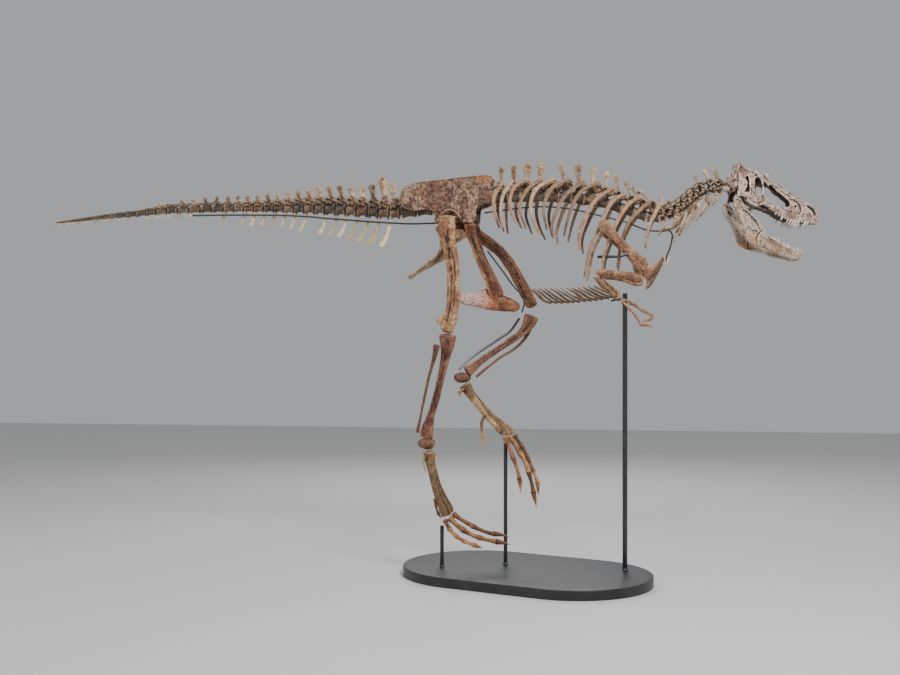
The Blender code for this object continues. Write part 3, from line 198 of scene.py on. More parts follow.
def blade(outline: Rows, sheet: Callable[[np.ndarray, np.ndarray], np.ndarray], half: float, rim: float = 0.35,
          around: int = 120, centre: Optional[Sequence[float]] = None) -> np.ndarray:
    """Flat bone: its outline drawn in towards a centre on both faces of a curved sheet.

    With r from the centre (0) to the rim (1), a face lies half * (rim + (1 - rim)(1 - r^3)) * sqrt(1 - r^10)
    from the sheet y = sheet(x, z).

    Args:
        outline: (x, z) points round the bone.
        sheet: y of the bone's middle sheet.
        half: half thickness at the centre.
        rim: share of it that is left near the rim.
        around: points round the rim.
        centre: (x, z) that the rim is drawn in to; the mean of the outline if not given.

    Returns:
        Grid of shape (rings, around, 3).
    """
    flat = np.asarray(outline, float)
    line = spline(np.column_stack([flat[:, 0], np.zeros(len(flat)), flat[:, 1]]), around, closed=True)[:, [0, 2]]
    middle = line.mean(0) if centre is None else np.asarray(centre, float)
    r = np.sin(np.linspace(0.02, math.pi / 2.0, BLADE_RINGS))
    r = np.concatenate([r, r[::-1][1:]])
    side = np.concatenate([np.ones(BLADE_RINGS), -np.ones(BLADE_RINGS - 1)])
    gap = side * half * (rim + (1.0 - rim) * (1.0 - r**3)) * np.sqrt(np.clip(1.0 - r**10, 0.0, 1.0))
    spot = middle + r[:, None, None] * (line - middle)[None, :, :]
    y = sheet(spot[..., 0], spot[..., 1]) + gap[:, None]
    return np.stack([spot[..., 0], y, spot[..., 1]], axis=-1)


def spool(length: float, wide: float, high: float, waist: float, around: int = 28) -> np.ndarray:
    """Body of a vertebra about its own centre: a drum with hollowed ends and a waist.

    The radius factor at share u of the length is waist + (1 - waist)|2u - 1|^2.4, and each end
    dips in as the factor falls to zero.
    """
    u = np.linspace(0.0, 1.0, 15)
    factor = waist + (1.0 - waist) * np.abs(2.0 * u - 1.0) ** 2.4
    place = (0.5 - u) * length
    inner = np.array([0.08, 0.45, 0.75, 0.93])
    dip = 0.07 * length * (1.0 - inner**2)
    factor = np.concatenate([inner * 0.98, factor, inner[::-1] * 0.98])
    place = np.concatenate([0.5 * length - dip, place, -0.5 * length + dip[::-1]])
    angle = np.linspace(0.0, TWO_PI, around, endpoint=False)
    ring = np.stack([np.zeros(around), wide * np.cos(angle), high * np.sin(angle)], axis=-1)
    grid = factor[:, None, None] * ring[None, :, :]
    grid[..., 0] += place[:, None]
    return grid[:, ::-1]


def mirror(grid: np.ndarray) -> np.ndarray:
    """The same surface on the other side of the middle plane, still facing out."""
    return (grid * np.array([1.0, -1.0, 1.0]))[:, ::-1]


def basis(ahead: Sequence[float], up: Sequence[float] = (0.0, 0.0, 1.0)) -> np.ndarray:
    """Rows ahead, left and up of a frame that looks ahead."""
    a = np.asarray(ahead, float)
    a = a / np.linalg.norm(a)
    left = np.cross(up, a)
    left /= np.linalg.norm(left)
    return np.array([a, left, np.cross(a, left)])


def placed(grid: np.ndarray, origin: Sequence[float], axes: np.ndarray) -> np.ndarray:
    """A surface from its own frame into the skeleton's: origin + x ahead + y left + z up."""
    return grid @ axes + np.asarray(origin, float)


# ---------------------------------------------------------------- shapes into pieces
class Stock:
    """Closed surfaces gathered for one piece, with a tone for each bone in it."""

    def __init__(self, seed: int) -> None:
        """Start empty; the seed picks the piece's noise and tones."""
        self.seed = seed
        self.grids: list[np.ndarray] = []
        self.tones: list[float] = []
        self.centres: list[np.ndarray] = []
        self.solids: list[tuple[np.ndarray, list[list[int]]]] = []
        self.picker = np.random.default_rng(seed)

    def add(self, *grids: np.ndarray, tone: Optional[float] = None) -> None:
        """Gather the surfaces of one bone."""
        shade = float(self.picker.uniform(0.0, 1.0)) if tone is None else tone
        for grid in grids:
            self.grids.append(grid)
            self.tones.append(shade)
            self.centres.append(grid.reshape(-1, 3).mean(0))

    def add_both(self, *grids: np.ndarray, tone: Optional[float] = None) -> None:
        """Gather a bone's surfaces and their mirror images."""
        self.add(*grids, *[mirror(g) for g in grids], tone=tone)

    def raw_mesh(self, name: str) -> bpy.types.Mesh:
        """All surfaces as one mesh: four-sided faces along the grids, fans on the ends."""
        points, quads, fans, others = [], [], [], []
        base = 0
        for grid in self.grids:
            rows, around = grid.shape[:2]
            index = base + np.arange(rows * around).reshape(rows, around)
            turned = np.roll(index, -1, axis=1)
            quads.append(np.stack([index[:-1], turned[:-1], turned[1:], index[1:]], axis=-1).reshape(-1, 4))
            first, last = base + rows * around, base + rows * around + 1
            fans.append(np.stack([np.full(around, first), turned[0], index[0]], axis=-1))
            fans.append(np.stack([np.full(around, last), index[-1], turned[-1]], axis=-1))
            points += [grid.reshape(-1, 3), grid[0].mean(0)[None], grid[-1].mean(0)[None]]
            base = last + 1
        for where, faces in self.solids:
            others += [[base + corner for corner in face] for face in faces]
            points.append(where)
            base += len(where)
        mesh = bpy.data.meshes.new(name)
        faces = (np.vstack(quads).tolist() + np.vstack(fans).tolist() if quads else []) + others
        mesh.from_pydata(np.vstack(points), [], faces)
        return mesh

    def skin(self, name: str) -> bpy.types.Mesh:
        """The surfaces as they are, each vertex with its bone's tone."""
        mesh = self.raw_mesh(name)
        tone = np.concatenate([np.full(g.shape[0] * g.shape[1] + 2, t) for g, t in zip(self.grids, self.tones)])
        write_value(mesh, "tone", tone)
        return mesh

    def carve(self, block: np.ndarray, cutters: Sequence[np.ndarray]) -> None:
        """Gather a block with closed cutters taken out of it."""
        pair = []
        for label, grids in (("block", [block]), ("cutter", list(cutters))):
            stock = Stock(self.seed)
            stock.add(*grids, tone=0.5)
            thing = bpy.data.objects.new(label, stock.raw_mesh(label))
            bpy.context.scene.collection.objects.link(thing)
            pair.append(thing)
        cut = pair[0].modifiers.new("cut", "BOOLEAN")
        cut.operation = "DIFFERENCE"
        cut.object = pair[1]
        cut.solver = "EXACT"
        cut.use_self = True
        bpy.context.view_layer.update()
        mesh = bpy.data.meshes.new_from_object(pair[0].evaluated_get(bpy.context.evaluated_depsgraph_get()))
        self.solids.append((read_points(mesh), [list(face.vertices) for face in mesh.polygons]))
        for thing in pair:
            bpy.data.objects.remove(thing, do_unlink=True)

    def piece(self, name: str, look: "Finish", nodes: Sequence[str], wear: "Weathering", voxel: float = 0.0,
              relax: int = 1, place: Optional[Matrix] = None, wear_seed: Optional[int] = None,
              shape: Optional[Callable[[bpy.types.Mesh], None]] = None,
              warm: Optional[Callable[[np.ndarray], np.ndarray]] = None) -> None:
        """Mesh the surfaces, wear the mesh and make a piece of it.

        Args:
            name: the piece's name.
            look: its finish.
            nodes: the solids that it stands for.
            wear: how uneven it is.
            voxel: edge of the cubes of one fused skin; the surfaces stay as they are if it is 0.
            relax: smoothing passes of a fused skin.
            place: matrix into the row's frame, if the piece has a frame of its own.
            wear_seed: seed of the unevenness; the stock's own if not given.
            shape: changes the mesh before it is worn.
            warm: share of the warm colour at each point of the worn mesh.
        """
        mesh = self.fuse(name, voxel, relax) if voxel > 0.0 else self.skin(name)
        if shape is not None:
            shape(mesh)
        wear.apply(mesh, self.seed if wear_seed is None else wear_seed)
        if warm is not None:
            write_value(mesh, "warm", warm(read_points(mesh)))
        finish_piece(mesh, name, look, nodes, place)

    def fuse(self, name: str, voxel: float, relax: int) -> bpy.types.Mesh:
        """One skin round all the surfaces: remeshed in cubes of the given size and relaxed.

        Args:
            name: the mesh's name.
            voxel: edge of the cubes.
            relax: smoothing passes.

        Returns:
            The mesh, with a tone at each vertex from the nearest bone's centre.
        """
        thing = bpy.data.objects.new(name + "_raw", self.raw_mesh(name + "_raw"))
        bpy.context.scene.collection.objects.link(thing)
        skin = thing.modifiers.new("skin", "REMESH")
        skin.mode = "VOXEL"
        skin.voxel_size = voxel
        smooth = thing.modifiers.new("relax", "SMOOTH")
        smooth.factor = 0.5
        smooth.iterations = relax
        bpy.context.view_layer.update()
        mesh = bpy.data.meshes.new_from_object(thing.evaluated_get(bpy.context.evaluated_depsgraph_get()))
        mesh.name = name
        bpy.data.objects.remove(thing, do_unlink=True)
        where = read_points(mesh)
        nearest = np.full(len(where), np.inf)
        tone = np.full(len(where), 0.5)
        for centre, shade in zip(self.centres, self.tones):
            apart = ((where - centre) ** 2).sum(1)
            tone = np.where(apart < nearest, shade, tone)
            nearest = np.minimum(nearest, apart)
        write_value(mesh, "tone", spread(mesh, tone, BLEND_STEPS))
        return mesh


def read_points(mesh: bpy.types.Mesh) -> np.ndarray:
    """The mesh's vertices as an (n, 3) array."""
    flat = np.zeros(len(mesh.vertices) * 3, np.float32)
    mesh.vertices.foreach_get("co", flat)
    return flat.reshape(-1, 3).astype(float)


def write_points(mesh: bpy.types.Mesh, points: np.ndarray) -> None:
    """Put an (n, 3) array back into the mesh's vertices."""
    mesh.vertices.foreach_set("co", points.astype(np.float32).ravel())
    mesh.update()


def write_value(mesh: bpy.types.Mesh, name: str, values: np.ndarray) -> None:
    """Store one number per vertex under a name that materials can read."""
    layer = mesh.attributes.get(name) or mesh.attributes.new(name, "FLOAT", "POINT")
    layer.data.foreach_set("value", values.astype(np.float32))


def edges_of(mesh: bpy.types.Mesh) -> np.ndarray:
    """The mesh's edges as an (m, 2) array of vertex numbers."""
    flat = np.zeros(len(mesh.edges) * 2, np.int32)
    mesh.edges.foreach_get("vertices", flat)
    return flat.reshape(-1, 2)


def spread(mesh: bpy.types.Mesh, values: np.ndarray, passes: int) -> np.ndarray:
    """Blend each vertex's value halfway to the mean of its neighbours, several times."""
    edges = edges_of(mesh)
    count = len(values)
    degree = np.maximum(np.bincount(edges.ravel(), minlength=count), 1)
    for _ in range(passes):
        total = (np.bincount(edges[:, 0], values[edges[:, 1]], count)
                 + np.bincount(edges[:, 1], values[edges[:, 0]], count))
        values = 0.5 * values + 0.5 * total / degree
    return values


def normals_of(mesh: bpy.types.Mesh) -> np.ndarray:
    """The mesh's vertex normals as an (n, 3) array."""
    flat = np.zeros(len(mesh.vertices) * 3, np.float32)
    mesh.vertices.foreach_get("normal", flat)
    return flat.reshape(-1, 3).astype(float)


def across(points: np.ndarray, rows: Rows) -> tuple[np.ndarray, np.ndarray]:
    """Where points lie on a shaft in side view: share of its length, and -1 (rear edge) to 1 (front edge)."""
    line = spline(rows, SHAFT_STEPS)
    gap = points[:, None, [0, 2]] - line[None, :, [0, 2]]
    nearest = np.argmin((gap**2).sum(2), axis=1)
    ahead = np.gradient(line[:, [0, 2]], axis=0)
    front = np.stack([-ahead[:, 1], ahead[:, 0]], axis=1) / np.linalg.norm(ahead, axis=1, keepdims=True)
    front *= np.sign(front[:, :1])
    offset = (gap[np.arange(len(points)), nearest] * front[nearest]).sum(1) / line[nearest, 4]
    return nearest / (SHAFT_STEPS - 1.0), offset


def groove(mesh: bpy.types.Mesh, rows: Rows, cuts: Sequence[tuple[float, float, float, float, float]],
           edges: tuple[float, float] = (0.4, 0.4)) -> None:
    """Sink lengthwise grooves in a shaft with painted shade in them, and paint a highlight along its edges so that they
    are paler than its middle.

    A cut of offset c, half width w and depth d sinks d (0.55 + 0.9 n) exp(-((s - c - 0.10 sin(14 t + 5 c)) / w)^2),
    with t the share of the length, s the place across and n value noise, between its first and last t.

    Args:
        mesh: the bone.
        rows: its shaft, as given to sweep.
        cuts: (first t, last t, c, w, d) of each groove.
        edges: how much painted highlight the rear and the front edge get, added to their tone.
    """
    points, normals = read_points(mesh), normals_of(mesh)
    t, s = across(points, rows)
    push = np.zeros(len(points))
    for first, last, offset, width, depth in cuts:
        inside = np.clip((t - first) / 0.04, 0.0, 1.0) * np.clip((last - t) / 0.04, 0.0, 1.0)
        lie = (s - offset - 0.10 * np.sin(14.0 * t + 5.0 * offset)) / width
        push = np.maximum(push, depth * inside * np.exp(-lie * lie))
    push *= np.clip(0.55 + 0.9 * value_noise(points, 0.040, 5), 0.0, 1.3)
    write_points(mesh, points - normals * push[:, None])
    tone = np.zeros(len(points), np.float32)
    mesh.attributes["tone"].data.foreach_get("value", tone)
    # Painted highlight: the tone rises towards the rear and the front edge of the shaft.
    edge_highlight = np.where(s < 0.0, edges[0], edges[1]) * np.clip((np.abs(s) - 0.30) / 0.45, 0.0, 1.0)
    write_value(mesh, "tone", tone + edge_highlight)
    # Painted shade in the grooves, darker where they are cut deeper.
    write_value(mesh, "dirt", np.clip(push / 0.012, 0.0, 0.55))


@dataclass(frozen=True)
class Weathering:
    """How uneven old bone is: depths in metres at three sizes, and how deep its chips go."""

    swell: float = 0.0016
    lump: float = 0.0010
    grain: float = 0.0004
    chip: float = 0.0018
    swell_size: float = 0.060
    lump_size: float = 0.022
    grain_size: float = 0.007

    def apply(self, mesh: bpy.types.Mesh, seed: int) -> None:
        """Push the skin in and out and note how hollow each place is.

        The push is swell n1 + lump n2 + grain n3 - chip max(0, n4 - 0.45), with n value noise. The
        attribute hollow is how far the blended skin (over 2 and 14 rings of neighbours) lies outside
        the vertex, along its normal, over the edges' length; the bone finish paints shade into hollow places from it.
        """
        points = read_points(mesh)
        normals = normals_of(mesh)
        push = (self.swell * value_noise(points, self.swell_size, seed)
                + self.lump * value_noise(points, self.lump_size, seed + 1)
                + self.grain * value_noise(points, self.grain_size, seed + 2)
                - self.chip * np.clip(value_noise(points, 0.016, seed + 3) - 0.45, 0.0, 1.0))
        points += normals * push[:, None]
        write_points(mesh, points)
        edges = edges_of(mesh)
        pace = float(np.mean(np.linalg.norm(points[edges[:, 0]] - points[edges[:, 1]], axis=1)))
        normals = normals_of(mesh)
        hollow = np.zeros(len(points))
        for passes, share in ((2, 2.6), (14, 1.1)):
            smooth = np.stack([spread(mesh, points[:, k], passes) for k in range(3)], axis=1)
            hollow += share * spread(mesh, ((smooth - points) * normals).sum(1) / pace, 2)
        write_value(mesh, "hollow", np.clip(hollow, -1.0, 1.0))


def finish_piece(mesh: bpy.types.Mesh, name: str, look: "Finish", nodes: Sequence[str],
                 place: Optional[Matrix] = None) -> bpy.types.Object:
    """Turn a mesh into a named piece that rides on the model.

    Args:
        mesh: the finished mesh, in the skeleton's frame or in the frame that place moves.
        name: the piece's name.
        look: its finish.
        nodes: the solids that it stands for.
        place: matrix into the row's frame; the shift to the middle plane if not given.

    Returns:
        The piece.
    """
    mesh.transform(place if place is not None else Matrix.Translation((0.0, MIDPLANE_Y, 0.0)))
    mesh.shade_smooth()
    mesh.materials.clear()
    mesh.materials.append(look.material())
    piece = bpy.data.objects.new(name, mesh)
    bpy.context.scene.collection.objects.link(piece)
    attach(piece, "root")
    if nodes:
        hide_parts(*nodes)
    log.info("%s: %d faces for %s", name, len(mesh.polygons), ", ".join(nodes) or "itself")
    return piece


# ---------------------------------------------------------------- finishes
class Wiring:
    """Short ways to add and join shader nodes in one tree."""

    def __init__(self, tree: bpy.types.NodeTree) -> None:
        """Work in the given tree."""
        self.tree = tree

    def node(self, kind: str, **settings: object) -> bpy.types.Node:
        """Add a node and set its properties."""
        made = self.tree.nodes.new(kind)
        for key, value in settings.items():
            setattr(made, key, value)
        return made

    def feed(self, socket: bpy.types.NodeSocket, value: object) -> None:
        """Join a socket to an output, or set its plain value."""
        if isinstance(value, bpy.types.NodeSocket):
            self.tree.links.new(value, socket)
        else:
            socket.default_value = value

    def maths(self, operation: str, a: object, b: object = 0.0, clamp: bool = False) -> bpy.types.NodeSocket:
        """One sum on two values."""
        made = self.node("ShaderNodeMath", operation=operation, use_clamp=clamp)
        self.feed(made.inputs[0], a)
        self.feed(made.inputs[1], b)
        return made.outputs[0]

    def plus(self, a: object, b: object, clamp: bool = False) -> bpy.types.NodeSocket:
        """a + b."""
        return self.maths("ADD", a, b, clamp)

    def minus(self, a: object, b: object) -> bpy.types.NodeSocket:
        """a - b."""
        return self.maths("SUBTRACT", a, b)

    def times(self, a: object, b: object, clamp: bool = False) -> bpy.types.NodeSocket:
        """a times b."""
        return self.maths("MULTIPLY", a, b, clamp)

    def bump(self, shader: bpy.types.Node, height: object, strength: float, distance: float) -> None:
        """Give a shader bump of the given height."""
        made = self.node("ShaderNodeBump")
        made.inputs["Strength"].default_value = strength
        made.inputs["Distance"].default_value = distance
        self.feed(made.inputs["Height"], height)
        self.feed(shader.inputs["Normal"], made.outputs["Normal"])

    def mix(self, share: object, a: object, b: object) -> bpy.types.NodeSocket:
        """Blend of two colours."""
        made = self.node("ShaderNodeMix", data_type="RGBA")
        self.feed(made.inputs["Factor"], share)
        for socket, value in ((made.inputs[6], a), (made.inputs[7], b)):
            self.feed(socket, (*value, 1.0) if isinstance(value, tuple) and len(value) == 3 else value)
        return made.outputs[2]

    def ramp(self, value: object, low: object, high: object) -> bpy.types.NodeSocket:
        """0 below low, 1 above high, smooth between."""
        made = self.node("ShaderNodeMapRange", interpolation_type="SMOOTHSTEP")
        self.feed(made.inputs["Value"], value)
        self.feed(made.inputs["From Min"], low)
        self.feed(made.inputs["From Max"], high)
        return made.outputs["Result"]

    def noise(self, vector: object, scale: object, detail: float = 4.0, rough: float = 0.55) -> bpy.types.NodeSocket:
        """Cloudy noise from 0 to 1."""
        made = self.node("ShaderNodeTexNoise")
        self.feed(made.inputs["Vector"], vector)
        self.feed(made.inputs["Scale"], scale)
        made.inputs["Detail"].default_value = detail
        made.inputs["Roughness"].default_value = rough
        return made.outputs["Fac"]


def effect_group(name: str, inputs: Sequence[tuple[str, str, float]], output: str,
                 fill: Callable[[Wiring, bpy.types.NodeSocket], bpy.types.NodeSocket]) -> bpy.types.NodeTree:
    """Node group with named inputs and one named output, built once.

    Args:
        name: the group's name.
        inputs: (name, socket type, default) for each input.
        output: the output's name.
        fill: makes the nodes from the wiring and the group's input node, and returns the result.

    Returns:
        The group.
    """
    found = bpy.data.node_groups.get(name)
    if found is not None:
        return found
    tree = bpy.data.node_groups.new(name, "ShaderNodeTree")
    for label, kind, default in inputs:
        socket = tree.interface.new_socket(label, in_out="INPUT", socket_type=kind)
        if kind == "NodeSocketFloat":
            socket.default_value = default
    tree.interface.new_socket(output, in_out="OUTPUT", socket_type="NodeSocketFloat")
    wiring = Wiring(tree)
    inside = wiring.node("NodeGroupInput")
    outside = wiring.node("NodeGroupOutput")
    wiring.feed(outside.inputs[output], fill(wiring, inside))
    return tree


VECTOR, FLOAT = "NodeSocketVector", "NodeSocketFloat"


def mottle_group() -> bpy.types.NodeTree:
    """Cloudy patches: 1 inside a patch. Share sets how much of the surface they cover."""
    def fill(w: Wiring, given: bpy.types.Node) -> bpy.types.NodeSocket:
        """Noise cut off at a level that follows Share."""
        cloud = w.noise(given.outputs["Vector"], given.outputs["Scale"], 6.0, 0.62)
        level = w.minus(0.72, w.times(given.outputs["Share"], 0.44))
        return w.ramp(cloud, w.minus(level, given.outputs["Softness"]),
                      w.plus(level, given.outputs["Softness"]))

    return effect_group("bone mottle", [("Vector", VECTOR, 0.0), ("Scale", FLOAT, 10.0), ("Share", FLOAT, 0.5),
                                        ("Softness", FLOAT, 0.08)], "Mask", fill)


def crack_group() -> bpy.types.NodeTree:
    """Fine wandering cracks: 1 on a crack."""
    def fill(w: Wiring, given: bpy.types.Node) -> bpy.types.NodeSocket:
        """Edges of cells whose places are shifted by noise, broken up by a second noise."""
        bend = w.node("ShaderNodeTexNoise")
        w.feed(bend.inputs["Vector"], given.outputs["Vector"])
        bend.inputs["Scale"].default_value = 14.0
        shift = w.node("ShaderNodeVectorMath", operation="SCALE")
        w.feed(shift.inputs[0], bend.outputs["Color"])
        shift.inputs["Scale"].default_value = 0.05
        moved = w.node("ShaderNodeVectorMath", operation="ADD")
        w.feed(moved.inputs[0], given.outputs["Vector"])
        w.feed(moved.inputs[1], shift.outputs[0])
        cells = w.node("ShaderNodeTexVoronoi", feature="DISTANCE_TO_EDGE")
        w.feed(cells.inputs["Vector"], moved.outputs[0])
        w.feed(cells.inputs["Scale"], given.outputs["Scale"])
        line = w.minus(1.0, w.ramp(cells.outputs["Distance"], 0.0, given.outputs["Width"]))
        broken = w.ramp(w.noise(given.outputs["Vector"], 9.0, 3.0), 0.46, 0.58)
        return w.times(line, broken)

    return effect_group("bone cracks", [("Vector", VECTOR, 0.0), ("Scale", FLOAT, 18.0), ("Width", FLOAT, 0.05)],
                        "Mask", fill)


def grain_group() -> bpy.types.NodeTree:
    """Height of fine pitting and fibre."""
    def fill(w: Wiring, given: bpy.types.Node) -> bpy.types.NodeSocket:
        """Coarse and fine noise added."""
        coarse = w.noise(given.outputs["Vector"], given.outputs["Scale"], 8.0, 0.7)
        fine = w.noise(given.outputs["Vector"], w.times(given.outputs["Scale"], 4.0), 4.0, 0.6)
        return w.plus(w.times(coarse, 0.7), w.times(fine, 0.3))

    return effect_group("bone grain", [("Vector", VECTOR, 0.0), ("Scale", FLOAT, 60.0)], "Height", fill)


@dataclass(frozen=True)
class Finish:
    """A finish: its material is made on first use."""

    name: str
    slot: str

    def material(self) -> bpy.types.Material:
        """The material of this name, built once."""
        found = bpy.data.materials.get(self.name)
        if found is not None:
            return found
        made = bpy.data.materials.new(self.name)
        made.use_nodes = True
        wiring = Wiring(made.node_tree)
        shader = made.node_tree.nodes["Principled BSDF"]
        place = wiring.node("ShaderNodeTexCoord").outputs["Object"]
        self.wire(wiring, shader, place)
        return made

    def wire(self, w: Wiring, shader: bpy.types.Node, place: bpy.types.NodeSocket) -> None:
        """Join this finish's nodes to the shader."""
        raise NotImplementedError

    def effect(self, w: Wiring, group: bpy.types.NodeTree, place: bpy.types.NodeSocket,
               **values: object) -> bpy.types.NodeSocket:
        """Place a node group, give it the surface's place and its own values."""
        made = w.node("ShaderNodeGroup", node_tree=group)
        w.feed(made.inputs["Vector"], place)
        for key, value in values.items():
            w.feed(made.inputs[key], value)
        return made.outputs[0]


@dataclass(frozen=True)
class BoneFinish(Finish):
    """Fossil bone: a pale skin over a darker body, stained in patches, with painted shade in its hollows and recesses.
    """

    pale: Colour = (0.56, 0.46, 0.34)
    body: Colour = (0.40, 0.28, 0.18)
    dark: Colour = (0.040, 0.020, 0.011)
    stain: Colour = (0.30, 0.13, 0.06)
    ochre: Colour = (0.62, 0.30, 0.09)
    pale_share: float = 0.55
    dark_share: float = 0.22
    spot_edge: float = 0.035
    grit: float = 0.50
    depth: float = 1.42
    grey: Colour = (0.36, 0.31, 0.28)
    grey_share: float = 0.0
    stain_share: float = 0.30
    crack_scale: float = 16.0
    crack_depth: float = 0.55
    patch_scale: float = 9.0
    roughness: float = 0.62
    bump: float = 0.0016

    def wire(self, w: Wiring, shader: bpy.types.Node, place: bpy.types.NodeSocket) -> None:
        """Colour from patches, tone, cracks and painted shade in hollows and recesses; bump from grain and cracks."""
        tone, hollow, warm, dirt = (w.node("ShaderNodeAttribute", attribute_name=name).outputs["Fac"]
                                    for name in ("tone", "hollow", "warm", "dirt"))
        light = self.effect(w, mottle_group(), place, Scale=self.patch_scale, Share=self.pale_share, Softness=0.10)
        stain = self.effect(w, mottle_group(), place, Scale=self.patch_scale * 0.55, Share=self.stain_share,
                            Softness=0.12)
        spots = self.effect(w, mottle_group(), place, Scale=self.patch_scale * 3.2, Share=self.dark_share,
                            Softness=self.spot_edge)
        cracks = self.effect(w, crack_group(), place, Scale=self.crack_scale, Width=0.045)
        grain = self.effect(w, grain_group(), place, Scale=70.0)
        colour = w.mix(light, self.body, self.pale)
        rusty = w.plus(w.times(stain, 0.60), w.times(w.minus(1.0, tone), 0.42), clamp=True)
        colour = w.mix(rusty, colour, self.stain)
        wave = w.maths("SINE", w.times(tone, 15.0))
        colour = w.mix(w.times(w.ramp(wave, -0.2, 0.8), self.grey_share), colour, self.grey)
        colour = w.mix(w.times(warm, 0.85), colour, self.ochre)
        spots = w.times(spots, w.minus(1.15, w.ramp(grain, 0.36, 0.66)), clamp=True)
        colour = w.mix(w.times(spots, 0.85), colour, self.dark)
        # The tone sets brightness: random for each bone, with painted shade on vertebra bodies and painted highlight
        # along some shafts' edges.
        shade = w.plus(0.30, w.times(tone, 0.88))
        speck = w.ramp(grain, 0.38, 0.62)
        shade = w.times(shade, w.plus(1.0 - 0.5 * self.grit, w.times(speck, self.grit)))
        toned = w.node("ShaderNodeVectorMath", operation="SCALE")
        w.feed(toned.inputs[0], colour)
        w.feed(toned.inputs["Scale"], shade)
        # Painted shade: hollow places, grooves and the skull's inside are mixed towards the dark colour.
        deep = w.ramp(hollow, 0.02, 0.60)
        ridge = w.ramp(w.times(hollow, -1.0), 0.15, 0.9)
        colour = w.mix(w.times(ridge, 0.50), toned.outputs[0], self.pale)
        colour = w.mix(w.times(deep, 0.92), colour, self.dark)
        colour = w.mix(w.times(dirt, 0.90), colour, self.dark)
        colour = w.mix(w.times(cracks, self.crack_depth), colour, self.dark)
        richer = w.node("ShaderNodeGamma")
        w.feed(richer.inputs["Color"], colour)
        richer.inputs["Gamma"].default_value = self.depth
        w.feed(shader.inputs["Base Color"], richer.outputs[0])
        w.feed(shader.inputs["Roughness"], w.plus(self.roughness - 0.12, w.times(grain, 0.28)))
        w.bump(shader, w.minus(grain, w.times(cracks, 0.6)), 0.9, self.bump)


@dataclass(frozen=True)
class SteelFinish(Finish):
    """Black satin paint on steel, a little rubbed and dusty."""

    paint: Colour = (0.010, 0.010, 0.011)
    dust: Colour = (0.060, 0.055, 0.050)
    dust_share: float = 0.35
    roughness: float = 0.38

    def wire(self, w: Wiring, shader: bpy.types.Node, place: bpy.types.NodeSocket) -> None:
        """Colour and roughness from dust patches, bump from a fine orange-peel."""
        dust = self.effect(w, mottle_group(), place, Scale=7.0, Share=self.dust_share, Softness=0.20)
        peel = self.effect(w, grain_group(), place, Scale=160.0)
        w.feed(shader.inputs["Base Color"], w.mix(w.times(dust, 0.35), self.paint, self.dust))
        w.feed(shader.inputs["Roughness"], w.plus(self.roughness, w.times(dust, 0.16)))
        w.bump(shader, peel, 0.25, 0.0004)


SKULL_LOOK = BoneFinish("skull bone", "skull_bone", pale=(0.80, 0.62, 0.53), body=(0.40, 0.24, 0.18),
                        stain=(0.20, 0.070, 0.040), stain_share=0.36, pale_share=0.66, dark_share=0.40,
                        crack_scale=13.0, crack_depth=0.85, patch_scale=12.0, grit=0.70, depth=1.08)
JAW_LOOK = BoneFinish("jaw bone", "jaw_bone", pale=(0.70, 0.60, 0.50), body=(0.36, 0.26, 0.19),
                      stain=(0.36, 0.15, 0.06), stain_share=0.26, pale_share=0.72, dark_share=0.26, crack_depth=0.7,
                      patch_scale=12.0, grit=0.65, depth=1.25)
TOOTH_LOOK = BoneFinish("tooth enamel", "skull_bone", pale=(0.78, 0.68, 0.55), body=(0.52, 0.38, 0.24),
                        dark_share=0.05, stain_share=0.15, crack_depth=0.15, roughness=0.38, bump=0.0004,
                        grit=0.20, depth=1.10)
SPINE_LOOK = BoneFinish("vertebra bone", "vertebra_bone", pale=(0.62, 0.47, 0.31), body=(0.27, 0.15, 0.08),
                        dark_share=0.32, grey_share=0.45, grit=0.85, depth=1.30)
RIB_LOOK = BoneFinish("rib bone", "rib_bone", pale=(0.56, 0.37, 0.23), body=(0.27, 0.135, 0.070), dark_share=0.24,
                      grey_share=0.35, grit=0.85, depth=1.30)
HIP_LOOK = BoneFinish("hip bone", "pelvis_bone", pale=(0.58, 0.42, 0.31), body=(0.28, 0.145, 0.085),
                      stain=(0.28, 0.11, 0.055), dark_share=0.46, spot_edge=0.05, grit=0.90, patch_scale=7.5,
                      ochre=(0.50, 0.24, 0.09))
THIGH_LOOK = BoneFinish("right thigh bone", "pelvis_bone", pale=(0.64, 0.43, 0.26), body=(0.36, 0.18, 0.085),
                        stain=(0.28, 0.11, 0.045), dark_share=0.22, grit=0.80)
PUBIS_LOOK = BoneFinish("pubis bone", "pubis_bone", pale=(0.50, 0.28, 0.15), body=(0.25, 0.105, 0.050),
                        pale_share=0.45, stain=(0.16, 0.055, 0.030), grit=0.80, ochre=(0.34, 0.26, 0.24))
ISCHIUM_LOOK = BoneFinish("ischium bone", "pubis_bone", pale=(0.56, 0.42, 0.28), body=(0.26, 0.17, 0.11),
                          dark_share=0.30, grit=0.80)
FAR_THIGH_LOOK = BoneFinish("left thigh bone", "femur_far_bone", pale=(0.40, 0.21, 0.12), body=(0.19, 0.080, 0.042),
                            grit=0.70)
SHIN_LOOK = BoneFinish("shin bone", "shin_bone", pale=(0.46, 0.26, 0.17), body=(0.22, 0.095, 0.055),
                       stain=(0.15, 0.055, 0.035), grit=0.75)
INSTEP_LOOK = BoneFinish("instep bone", "instep_bone", pale=(0.68, 0.50, 0.28), body=(0.38, 0.20, 0.10),
                         stain=(0.26, 0.090, 0.045), pale_share=0.62, grit=0.70)
FOOT_LOOK = BoneFinish("foot bone", "foot_bone", pale=(0.58, 0.34, 0.17), body=(0.29, 0.135, 0.060), dark_share=0.28,
                       grit=0.70)
